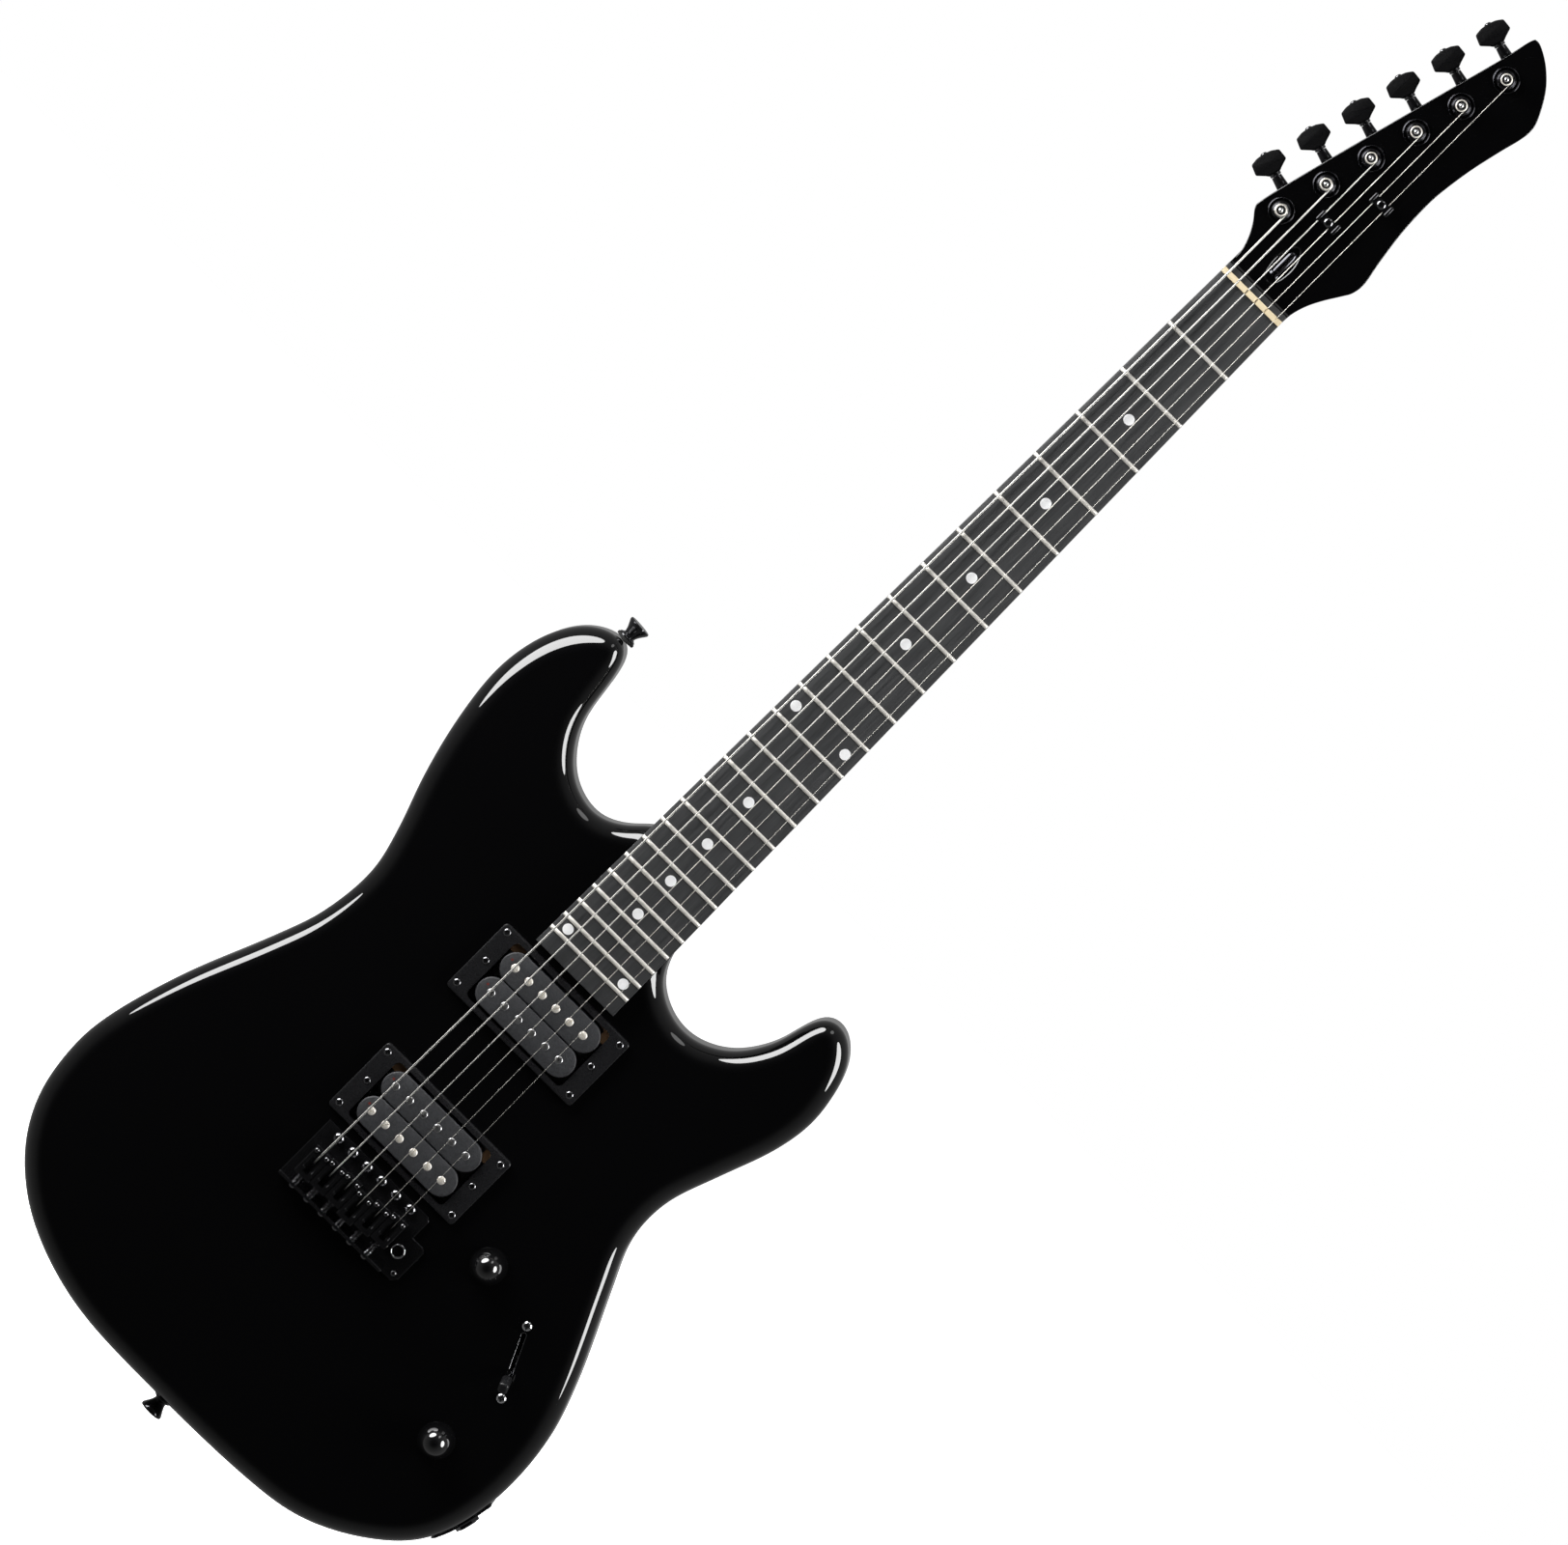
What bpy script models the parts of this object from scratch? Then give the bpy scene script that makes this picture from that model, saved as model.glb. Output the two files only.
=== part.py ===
"""A solid-body electric guitar with a double cutaway, a bolt-on neck and a spring vibrato bridge.

The pieces are laid out on a bench: X runs across the strings to the treble side, Y runs along
the neck to the headstock, and Z is the height over the back of the neck. The empty "upright"
then stands the whole instrument on end, so that the headstock is up (+Z) and the strings face -Y.
"""

import math

import bmesh
import bpy
from mathutils import Matrix, Vector

MM = 0.001
GAP = 0.3 * MM  # left between pieces that touch
OVER = 5 * MM  # how far a cutter runs past the face that it opens

# Heights over the back of the neck at the nut
BOARD_TOP = 20.5 * MM
BOARD_BOTTOM = 14.5 * MM
NECK_TOP = BOARD_BOTTOM - GAP
BODY_FRONT = 11.5 * MM
BODY_BACK = -33 * MM
BODY_MIDDLE = (BODY_FRONT + BODY_BACK) / 2
HEAD_FRONT = 10 * MM
HEAD_BACK = -4 * MM
HEEL_BACK = -4.9 * MM
BODY_ROUNDING = 8 * MM

# Neck, along Y from the zero point of the scale
SCALE_LENGTH = 647.7 * MM
FRET_COUNT = 24
FRET_HEIGHT = 1.1 * MM
FRET_WIDTH = 2.2 * MM
BOARD_RADIUS = 305 * MM
BOARD_START = 8 * MM
BOARD_END = -496.8 * MM
NUT_FRONT = 1.4 * MM
NUT_BACK = 4.7 * MM
NUT_TOP = 22.5 * MM
NUT_HALF_WIDTH = 20.7 * MM
END_HALF_WIDTH = 28.35 * MM
HEEL_END = -490 * MM
HEEL_START = -422 * MM

# Strings, from the lowest to the highest
STRING_RADII = [0.584 * MM, 0.457 * MM, 0.33 * MM, 0.216 * MM, 0.165 * MM, 0.127 * MM]
NUT_SPACING = 6.9 * MM
NUT_STRING_HEIGHT = 21.9 * MM
BRIDGE_CENTRE = -2 * MM
BRIDGE_SPACING = 10.55 * MM
BRIDGE_STRING_HEIGHT = 25.2 * MM
SADDLE_FRONTS = [-653 * MM, -652.3 * MM, -651.6 * MM, -653.6 * MM, -651.2 * MM, -649.6 * MM]
BREAK_BACK = 3.6 * MM  # from a saddle's front to where its string bends down

# Tuners: six in a line that leans with the edge of the headstock
FIRST_POST = Vector((-20.5 * MM, 45.3 * MM, 0))
LAST_POST = Vector((14.6 * MM, 174.7 * MM, 0))
TUNER_TILT = math.radians(14.8)
POST_TOP = 27 * MM
POST_RADIUS = 3.05 * MM
WAIST_RADIUS = 2.6 * MM
WRAP_LOW = 14.6 * MM
WRAP_HIGH = 18.4 * MM
WORM_OFFSET = 6.8 * MM
GEAR_HEIGHT = -9.8 * MM
BUTTON_THICKNESS = 6.8 * MM

# Vibrato bridge
PIVOT_Y = -641.4 * MM
PLATE_BOTTOM = BODY_FRONT + GAP
PLATE_TOP = PLATE_BOTTOM + 2.3 * MM
PLATE_REAR = -678.4 * MM
ARM_HOLE = Vector((35.1 * MM, -664.6 * MM, 0))
BLOCK_BOTTOM = -27 * MM
SPRING_HEIGHT = -24 * MM
SPRING_PLACES = (-18 * MM, -2 * MM, 14 * MM)

# Pickups
NECK_PICKUP_Y = -524.3 * MM
BRIDGE_PICKUP_Y = -612.5 * MM

# Controls
VOLUME_PLACE = Vector((74.4 * MM, -636.3 * MM, 0))
TONE_PLACE = Vector((119.4 * MM, -721 * MM, 0))
FRONT_WALL = 5.5 * MM  # wood left over the control cavity
COVER_THICKNESS = 1.8 * MM
KNOB_BASE = BODY_FRONT + 0.6 * MM
SWITCH_SCREWS = (Vector((110.8 * MM, -645 * MM, 0)), Vector((127.9 * MM, -681.6 * MM, 0)))
SWITCH_PIVOT_HEIGHT = -6.5 * MM
SWITCH_LEAN = math.radians(18.5)
LEVER_REACH = 34 * MM  # from the switch's pivot to the middle of the lever's cap
CAP_LENGTH = 12 * MM
JACK_PLACE = Vector((160 * MM, -744 * MM, BODY_MIDDLE))
JACK_AXIS = Vector((0.968, -0.252, 0)).normalized()
JACK_REACH = 3.6 * MM  # how far the socket stands out of the body's edge

# Strap buttons: place of the base and the way the button points
HORN_BUTTON = (Vector((-106.5 * MM, -355 * MM, BODY_MIDDLE)), Vector((0.08, 0.9968, 0)))
TAIL_BUTTON = (Vector((2 * MM, -810 * MM, BODY_MIDDLE)), Vector((0, -1, 0)))

# Outlines in millimetres, seen from the front
BODY_OUTLINE = [
    (-22, -410), (-37.5, -423), (-52, -430), (-69, -427), (-82, -417), (-92, -400), (-96, -375),
    (-99.5, -361), (-107, -355), (-121, -359.5), (-132, -371), (-140, -390), (-143, -415),
    (-139, -447), (-131, -479), (-121, -508), (-115, -535), (-118.6, -568), (-129, -598),
    (-147, -642), (-159, -682), (-162, -711), (-156, -744), (-138, -772), (-107, -794),
    (-62, -807.5), (-2, -810), (60, -808.5), (98, -802.5), (131, -785), (153, -762), (163, -728),
    (162, -687), (150.5, -650), (129, -603), (118, -577), (117, -549), (127, -519), (138, -488),
    (141.5, -461), (135, -433), (122, -419), (109, -419.5), (103, -431), (98, -449), (86, -467),
    (69, -477), (52, -477.5), (36, -469.5), (28.5, -458), (22, -436), (3, -415),
]
HEAD_OUTLINE = [
    (-20.6, 12), (-20.7, 16), (-23.2, 24), (-27, 31), (-31.6, 37.2), (-31.6, 41.5), (-29.6, 51),
    (-22, 80.5), (-4.8, 144), (5.3, 181), (9.2, 197.4), (11.8, 200.3), (17.4, 198.4),
    (25.4, 193), (33.4, 184.6), (40, 173.2), (42.2, 166), (41.4, 158), (38.3, 146), (34.3, 128),
    (31.7, 110), (31.2, 97), (32.1, 80), (34.6, 62), (36.9, 49), (36, 41.2), (33, 35.7),
    (28, 27.7), (23.9, 19.7), (21.6, 12),
]
CONTROL_CAVITY = [
    (59, -622), (95, -617), (127, -638), (142, -672), (147, -712), (140, -741), (118, -750),
    (98, -739), (92, -705), (83, -672), (61, -656),
]
NECK_PLATE_OUTLINE = [(-27, -440), (9, -440), (17, -452), (25, -478), (25, -492), (-27, -492)]
NECK_SCREWS = [(-20, -447), (3, -447), (-20, -485), (18, -485)]
BRIDGE_OUTLINE = [
    (-38.6, -640.6), (34, -640.6), (36, -642.5), (36, -654.2), (43.6, -654.2), (45.6, -656.2),
    (45.6, -675), (43, -678.4), (-38.6, -678.4),
]
BLOCK_SLOT = [
    (-38, -646), (35.5, -646), (35.5, -656), (41, -656), (41, -676.5), (-38, -676.5),
]
BUTTON_OUTLINE = [
    (-18.6, -3.4), (-19.6, -4.4), (-22.6, -9.2), (-28.4, -8.3), (-29.9, -4.4), (-30.4, 0),
    (-29.9, 4.4), (-28.4, 8.3), (-22.6, 9.2), (-19.6, 4.4), (-18.6, 3.4),
]

for old in list(bpy.data.objects):
    bpy.data.objects.remove(old, do_unlink=True)

PARTS = bpy.data.collections.new("electric_guitar")
CUTTERS = bpy.data.collections.new("cutters")
bpy.context.scene.collection.children.link(PARTS)
bpy.context.scene.collection.children.link(CUTTERS)

UPRIGHT = bpy.data.objects.new("upright", None)
UPRIGHT.rotation_euler.x = math.pi / 2
PARTS.objects.link(UPRIGHT)


# ---------------------------------------------------------------- materials


def material(name, colour, roughness, metallic=0.0):
    made = bpy.data.materials.new(name)
    made.use_nodes = True
    shader = made.node_tree.nodes["Principled BSDF"]
    shader.inputs["Base Color"].default_value = (*colour, 1)
    shader.inputs["Roughness"].default_value = roughness
    shader.inputs["Metallic"].default_value = metallic
    return made


BLACK_LACQUER = material("black_lacquer", (0.008, 0.008, 0.009), 0.06)
DARK_WOOD = material("dark_wood", (0.045, 0.042, 0.043), 0.55)
BONE = material("bone", (0.85, 0.8, 0.66), 0.4)
CHROME = material("chrome", (0.8, 0.8, 0.82), 0.12, 1.0)
STEEL = material("steel", (0.6, 0.6, 0.6), 0.3, 1.0)
BLACK_METAL = material("black_metal", (0.02, 0.02, 0.022), 0.2, 0.8)
BLACK_PLASTIC = material("black_plastic", (0.015, 0.015, 0.016), 0.35)
GLOSS_PLASTIC = material("gloss_plastic", (0.01, 0.01, 0.01), 0.08)
BOBBIN_PLASTIC = material("bobbin_plastic", (0.05, 0.05, 0.052), 0.5)


# ---------------------------------------------------------------- tools


def add(name, mesh):
    obj = bpy.data.objects.new(name, mesh)
    obj.parent = UPRIGHT
    PARTS.objects.link(obj)
    return obj


def from_bmesh(name, bm):
    bmesh.ops.recalc_face_normals(bm, faces=bm.faces)
    mesh = bpy.data.meshes.new(name)
    bm.to_mesh(mesh)
    bm.free()
    return add(name, mesh)


def box(name, low, high):
    """A box between two opposite corners."""
    low, high = Vector(low), Vector(high)
    place = Matrix.Translation((low + high) / 2) @ Matrix.Diagonal((*(high - low), 1))
    bm = bmesh.new()
    bmesh.ops.create_cube(bm, size=1, matrix=place)
    return from_bmesh(name, bm)


def rod(name, start, end, radius, sides=16):
    """A round bar between two points."""
    start, end = Vector(start), Vector(end)
    turn = (end - start).to_track_quat("Z", "Y").to_matrix().to_4x4()
    bm = bmesh.new()
    bmesh.ops.create_cone(
        bm, cap_ends=True, segments=sides, radius1=radius, radius2=radius,
        depth=(end - start).length, matrix=Matrix.Translation((start + end) / 2) @ turn,
    )
    return from_bmesh(name, bm)


def turned(name, profile, place=(0, 0, 0), axis=(0, 0, 1), steps=24):
    """A turned piece: (radius, height) pairs run down its outer side, about the axis."""
    mesh = bpy.data.meshes.new(name)
    points = [(radius, 0, height) for radius, height in profile]
    edges = [(i, i + 1) for i in range(len(points) - 1)]
    if profile[0][0] > 0:
        edges.append((len(points) - 1, 0))
    mesh.from_pydata(points, edges, [])
    obj = add(name, mesh)
    obj.location = place
    obj.rotation_mode = "QUATERNION"
    obj.rotation_quaternion = Vector(axis).to_track_quat("Z", "Y")
    screw = obj.modifiers.new("turn", "SCREW")
    screw.steps = screw.render_steps = steps
    screw.use_merge_vertices = True
    screw.merge_threshold = 0.00002
    return obj


def smooth(points, per_span=2):
    """Points along a closed curve that runs smoothly through the given ones."""
    found = []
    count = len(points)
    for i in range(count):
        before, start, end, after = (Vector(points[(i + k) % count]) for k in (-1, 0, 1, 2))
        for step in range(per_span):
            t = step / per_span
            leave, arrive = (end - before) / 2, (after - start) / 2
            found.append(
                (2 * t**3 - 3 * t**2 + 1) * start + (t**3 - 2 * t**2 + t) * leave
                + (3 * t**2 - 2 * t**3) * end + (t**3 - t**2) * arrive
            )
    return found


def grown(points, distance):
    """A clockwise or anticlockwise outline moved outwards by a distance."""
    count = len(points)
    area = sum(points[i - 1][0] * points[i][1] - points[i][0] * points[i - 1][1] for i in range(count))
    side = 1 if area > 0 else -1
    moved = []
    for i, point in enumerate(points):
        along = (Vector(points[(i + 1) % count]) - Vector(points[i - 1])).normalized()
        moved.append(Vector(point) + side * distance * Vector((along.y, -along.x)))
    return moved


def slab(name, outline, low, high):
    """A flat piece: an outline in millimetres, filled between two heights in metres."""
    curve = bpy.data.curves.new(name, "CURVE")
    curve.dimensions = "2D"
    curve.fill_mode = "BOTH"
    curve.extrude = (high - low) / 2
    spline = curve.splines.new("POLY")
    spline.points.add(len(outline) - 1)
    for point, (x, y) in zip(spline.points, outline):
        point.co = (x * MM, y * MM, 0, 1)
    spline.use_cyclic_u = True
    flat = bpy.data.objects.new(name + "_curve", curve)
    CUTTERS.objects.link(flat)
    bpy.context.view_layer.update()
    graph = bpy.context.evaluated_depsgraph_get()
    mesh = bpy.data.meshes.new_from_object(flat.evaluated_get(graph))
    bpy.data.objects.remove(flat)
    bm = bmesh.new()
    bm.from_mesh(mesh)
    bmesh.ops.remove_doubles(bm, verts=bm.verts, dist=0.00001)
    bmesh.ops.dissolve_limit(bm, angle_limit=math.radians(0.3), verts=bm.verts, edges=bm.edges)
    bmesh.ops.translate(bm, vec=(0, 0, (low + high) / 2), verts=bm.verts)
    bpy.data.meshes.remove(mesh)
    return from_bmesh(name, bm)


def loft(name, sections):
    """A skin over closed sections that have the same number of points."""
    bm = bmesh.new()
    rings = [[bm.verts.new(point) for point in section] for section in sections]
    for ring, following in zip(rings, rings[1:]):
        for i in range(len(ring)):
            bm.faces.new((ring[i - 1], ring[i], following[i], following[i - 1]))
    bm.faces.new(rings[0])
    bm.faces.new(rings[-1])
    return from_bmesh(name, bm)


def wire(name, points, radius):
    """A round wire along straight stretches between points."""
    curve = bpy.data.curves.new(name, "CURVE")
    curve.dimensions = "3D"
    curve.bevel_depth = radius
    curve.bevel_resolution = 2
    curve.use_fill_caps = True
    spline = curve.splines.new("POLY")
    spline.points.add(len(points) - 1)
    for point, place in zip(spline.points, points):
        point.co = (*place, 1)
    return add(name, curve)


def bevel(obj, width, segments=1, angle=40):
    modifier = obj.modifiers.new("bevel", "BEVEL")
    modifier.width = width
    modifier.segments = segments
    modifier.limit_method = "ANGLE"
    modifier.angle_limit = math.radians(angle)
    modifier.use_clamp_overlap = False
    return obj


def combine(target, operation, others):
    for other in others:
        modifier = target.modifiers.new(operation.lower(), "BOOLEAN")
        modifier.operation = operation
        modifier.solver = "EXACT"
        modifier.object = other
        other.hide_render = True
        other.display_type = "WIRE"
        PARTS.objects.unlink(other)
        CUTTERS.objects.link(other)
    return target


def cut(target, *others):
    return combine(target, "DIFFERENCE", others)


def join(target, *others):
    return combine(target, "UNION", others)


def finish(obj, look, rounded=False):
    """Gives a finished piece its material and its shading."""
    obj.data.materials.append(look)
    if rounded and obj.type == "MESH":
        obj.data.shade_smooth()
        obj.data.set_sharp_from_angle(angle=math.radians(35))
    return obj


# ---------------------------------------------------------------- shared measures


def half_width(y):
    """Half the width of the neck, which widens evenly from the nut to the last fret."""
    share = (NUT_FRONT - y) / (NUT_FRONT - BOARD_END)
    return NUT_HALF_WIDTH + max(0.0, share) * (END_HALF_WIDTH - NUT_HALF_WIDTH)


def fret_y(number):
    return -SCALE_LENGTH * (1 - 2 ** (-number / 12))


def post_place(index):
    return FIRST_POST.lerp(LAST_POST, index / 5)


def wrap_radius(index):
    """Distance from a post's axis to the middle of the string that winds on it."""
    return WAIST_RADIUS + 0.3 * MM + 1.4 * STRING_RADII[index]


def saddle_x(index):
    return BRIDGE_CENTRE + (index - 2.5) * BRIDGE_SPACING


def nut_x(index):
    return (index - 2.5) * NUT_SPACING


# ---------------------------------------------------------------- wood


def neck_section(y, half, top, bottom, squareness):
    points = []
    for step in range(13):
        angle = math.pi * step / 12
        across = math.copysign(abs(math.cos(angle)) ** (2 / squareness), math.cos(angle))
        depth = math.sin(angle) ** (2 / squareness)
        points.append((-half * across, y, top - (top - bottom) * depth))
    return points


def make_neck():
    neck = loft("neck", [
        neck_section(HEEL_END, half_width(HEEL_END), NECK_TOP, HEEL_BACK, 12),
        neck_section(HEEL_START, half_width(HEEL_START), NECK_TOP, HEEL_BACK, 12),
        neck_section(-405 * MM, half_width(-405 * MM), NECK_TOP, -2.2 * MM, 2.8),
        neck_section(-324 * MM, half_width(-324 * MM), NECK_TOP, -1.5 * MM, 2.3),
        neck_section(-170 * MM, half_width(-170 * MM), NECK_TOP, -0.8 * MM, 2.3),
        neck_section(-10 * MM, half_width(-10 * MM), NECK_TOP, 0, 2.3),
        neck_section(8 * MM, 20.6 * MM, NECK_TOP, -0.4 * MM, 2.4),
        neck_section(14 * MM, 20.6 * MM, 10 * MM, -1.8 * MM, 3),
        neck_section(26 * MM, 20 * MM, 9 * MM, -3 * MM, 5),
    ])
    head = bevel(slab("head_slab", smooth(HEAD_OUTLINE, 1), HEAD_BACK, HEAD_FRONT), 1 * MM)
    join(neck, head)
    rod_channel = box("rod_channel", (-3.2 * MM, -440 * MM, 4.2 * MM),
                      (3.2 * MM, 20 * MM, NECK_TOP + OVER))
    rod_mouth = slab("rod_mouth", [(-3.9, 14), (3.9, 14), (4.2, 30), (2.6, 36.5), (0, 38),
                                   (-2.6, 36.5), (-4.2, 30)], 3 * MM, NECK_TOP + OVER)
    cut(neck, rod_channel, rod_mouth)
    for index in range(6):
        x, y, _ = post_place(index)
        cut(neck, rod(f"post_bore_{index}", (x, y, -20 * MM), (x, y, 20 * MM), 5 * MM, 20))
    for index, (x, y) in enumerate(NECK_SCREWS):
        cut(neck, rod(f"neck_bore_{index}", (x * MM, y * MM, HEEL_BACK - OVER),
                      (x * MM, y * MM, 9 * MM), 2.6 * MM, 12))
    finish(neck, BLACK_LACQUER, rounded=True)


def board_section(y, raised):
    half = half_width(y)
    points = [(-half, y, BOARD_BOTTOM), (half, y, BOARD_BOTTOM)]
    for step in range(5):
        x = half * (1 - step / 2)
        points.append((x, y, BOARD_TOP + raised - x * x / (2 * BOARD_RADIUS)))
    return points


def make_fretboard():
    sections = [board_section(BOARD_START, 0)]
    for number in range(1, FRET_COUNT + 1):
        y = fret_y(number)
        for offset, raised in ((0.5, 0), (0.2, FRET_HEIGHT), (-0.2, FRET_HEIGHT), (-0.5, 0)):
            sections.append(board_section(y + offset * FRET_WIDTH, raised))
    sections.append(board_section(BOARD_END, 0))
    board = loft("fretboard", sections)
    cut(board, box("nut_slot", (-30 * MM, NUT_FRONT - GAP, 16.5 * MM),
                   (30 * MM, NUT_BACK + GAP, 30 * MM)))
    finish(board, DARK_WOOD)


def make_nut():
    sections = []
    for y in (NUT_FRONT, NUT_BACK):
        points = [(-NUT_HALF_WIDTH, y, 16.8 * MM), (NUT_HALF_WIDTH, y, 16.8 * MM)]
        for step in range(7):
            x = NUT_HALF_WIDTH * (1 - step / 3)
            points.append((x, y, NUT_TOP - x * x / (2 * BOARD_RADIUS)))
        sections.append(points)
    nut = loft("nut", sections)
    for index, radius in enumerate(STRING_RADII):
        low = NUT_STRING_HEIGHT - radius - GAP
        half = radius + GAP
        cut(nut, box(f"nut_groove_{index}", (nut_x(index) - half, -5 * MM, low),
                     (nut_x(index) + half, 10 * MM, 30 * MM)))
    finish(nut, BONE)


def make_truss_rod():
    bar = rod("truss_rod", (0, -437 * MM, 8 * MM), (0, 20 * MM, 8 * MM), 2.4 * MM, 12)
    join(bar, rod("rod_nut", (0, 19 * MM, 7.4 * MM), (0, 31 * MM, 7.4 * MM), 3.4 * MM, 12))
    finish(bar, CHROME, rounded=True)


def pocket_outline():
    """The neck pocket, open towards the headstock and as wide as the heel."""
    deep, open_end = HEEL_END - GAP, -400 * MM
    points = []
    for side, y in ((-1, deep), (1, deep), (1, open_end), (-1, open_end)):
        points.append((side * (half_width(y) + GAP) / MM, y / MM))
    return points


def make_body():
    body = bevel(slab("body", smooth(BODY_OUTLINE), BODY_BACK, BODY_FRONT), BODY_ROUNDING, 2)
    cut(body, slab("neck_pocket", pocket_outline(), HEEL_BACK - GAP, BODY_FRONT + OVER))
    for name, middle in (("neck", NECK_PICKUP_Y), ("bridge", BRIDGE_PICKUP_Y)):
        for part, wide, long in (("cavity", 36 * MM, 20 * MM), ("ears", 42.6 * MM, 6 * MM)):
            cut(body, box(f"{name}_pickup_{part}", (-wide, middle - long, -9 * MM),
                          (wide, middle + long, BODY_FRONT + OVER)))
    cut(body, slab("block_slot", BLOCK_SLOT, BODY_BACK - OVER, BODY_FRONT + OVER))
    cut(body, slab("spring_cavity", [(-36, -548), (32, -548), (32, -650), (-36, -650)],
                   BODY_BACK - OVER, BODY_BACK + 16 * MM))
    for side in (-1, 1):
        x = BRIDGE_CENTRE + side * 8 * MM
        cut(body, rod(f"claw_bore_{side}", (x, -552 * MM, SPRING_HEIGHT),
                      (x, -514 * MM, SPRING_HEIGHT), 2.3 * MM, 12))
    cut(body, slab("control_cavity", smooth(CONTROL_CAVITY), BODY_BACK - OVER,
                   BODY_FRONT - FRONT_WALL))
    for index, place in enumerate((VOLUME_PLACE, TONE_PLACE)):
        x, y, _ = place
        cut(body, rod(f"pot_bore_{index}", (x, y, 0), (x, y, 20 * MM), 5 * MM, 20))
    first, last = SWITCH_SCREWS
    along = (last - first).normalized()
    aside = Vector((along.y, -along.x, 0))
    middle = (first + last) / 2
    corners = [middle + along * a * MM + aside * b * MM
               for a, b in ((-16.5, -1.3), (16.5, -1.3), (16.5, 1.3), (-16.5, 1.3))]
    cut(body, slab("switch_slot", [(c.x / MM, c.y / MM) for c in corners], 0, 20 * MM))
    for index, (x, y, _) in enumerate(SWITCH_SCREWS):
        cut(body, rod(f"switch_bore_{index}", (x, y, 0), (x, y, 20 * MM), 1.9 * MM, 12))
    cut(body, rod("jack_bore", JACK_PLACE + JACK_AXIS * 10 * MM, JACK_PLACE - JACK_AXIS * 26 * MM,
                  9 * MM, 20))
    for index, (x, y) in enumerate(NECK_SCREWS):
        cut(body, rod(f"plate_bore_{index}", (x * MM, y * MM, BODY_BACK - OVER),
                      (x * MM, y * MM, 0), 2.6 * MM, 12))
    for index, (place, axis) in enumerate((HORN_BUTTON, TAIL_BUTTON)):
        cut(body, rod(f"strap_bore_{index}", place + axis * 5 * MM, place - axis * 26 * MM,
                      1.9 * MM, 10))
    finish(body, BLACK_LACQUER, rounded=True)


# ---------------------------------------------------------------- plates, covers and buttons


def make_neck_plate():
    plate = bevel(slab("neck_plate", NECK_PLATE_OUTLINE, BODY_BACK - GAP - 2 * MM,
                       BODY_BACK - GAP), 0.5 * MM)
    for index, (x, y) in enumerate(NECK_SCREWS):
        x, y = x * MM, y * MM
        top = BODY_BACK - GAP
        join(plate, rod(f"neck_screw_{index}", (x, y, top - 1 * MM), (x, y, 8 * MM), 2.2 * MM, 12),
             rod(f"neck_screw_head_{index}", (x, y, top - 3 * MM), (x, y, top - 1 * MM), 4.2 * MM, 12))
    finish(plate, BLACK_METAL)


def make_covers():
    low, high = BODY_BACK - GAP - COVER_THICKNESS, BODY_BACK - GAP
    back = bevel(slab("spring_cavity_cover", [(-45, -538), (41, -538), (41, -682), (-45, -682)],
                      low, high), 0.5 * MM)
    cut(back, slab("string_window", [(-33, -646), (29, -646), (29, -666), (-33, -666)],
                   low - OVER, high + OVER))
    finish(back, BLACK_PLASTIC)
    finish(bevel(slab("control_cavity_cover", grown(smooth(CONTROL_CAVITY), 5), low, high),
                 0.5 * MM), BLACK_PLASTIC)


def make_strap_button(name, place, axis):
    button = turned(name, [
        (0, 11.2 * MM), (6.0 * MM, 11.2 * MM), (6.6 * MM, 10.6 * MM), (6.6 * MM, 9.8 * MM),
        (3.6 * MM, 5 * MM), (3.4 * MM, 2.4 * MM), (5.2 * MM, 1.6 * MM), (5.2 * MM, GAP),
        (1.5 * MM, GAP), (1.5 * MM, -22 * MM), (0, -24 * MM),
    ], place, axis, 14)
    finish(button, BLACK_METAL, rounded=True)


def make_jack():
    outline = [Vector((p.x, p.y)) for p in smooth(BODY_OUTLINE, 6)]
    near = [p for p in outline
            if (Vector((p.x * MM, p.y * MM)) - JACK_PLACE.to_2d()).length < 19 * MM]
    inner = [p + 0.4 * JACK_AXIS.to_2d() for p in near]
    outer = [p + 1.7 * JACK_AXIS.to_2d() for p in reversed(near)]
    plate = slab("jack_plate", inner + outer, BODY_MIDDLE - 12 * MM, BODY_MIDDLE + 12 * MM)
    bore_end = JACK_AXIS * 12 * MM
    cut(plate, rod("jack_plate_bore", JACK_PLACE - bore_end, JACK_PLACE + bore_end, 5.2 * MM, 20))
    finish(bevel(plate, 0.4 * MM, 1, 60), BLACK_METAL)
    jack = turned("output_jack", [
        (3.8 * MM, JACK_REACH), (6.4 * MM, JACK_REACH), (6.4 * MM, 2.1 * MM), (4.8 * MM, 2.1 * MM),
        (4.8 * MM, -0.8 * MM), (7.6 * MM, -0.8 * MM), (7.6 * MM, -2.2 * MM), (3.8 * MM, -2.2 * MM),
    ], JACK_PLACE, JACK_AXIS, 20)
    finish(jack, CHROME, rounded=True)


# ---------------------------------------------------------------- pickups


def make_ring(name, middle):
    y = middle / MM
    ring = bevel(slab(name, [(-45.6, y - 22.8), (45.6, y - 22.8), (45.6, y + 22.8),
                             (-45.6, y + 22.8)], BODY_FRONT + GAP, BODY_FRONT + 4.3 * MM), 0.6 * MM)
    cut(ring, slab(name + "_window", [(-35.2, y - 19.6), (35.2, y - 19.6), (35.2, y + 19.6),
                                      (-35.2, y + 19.6)], 0, 30 * MM))
    finish(ring, BLACK_PLASTIC)


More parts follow.
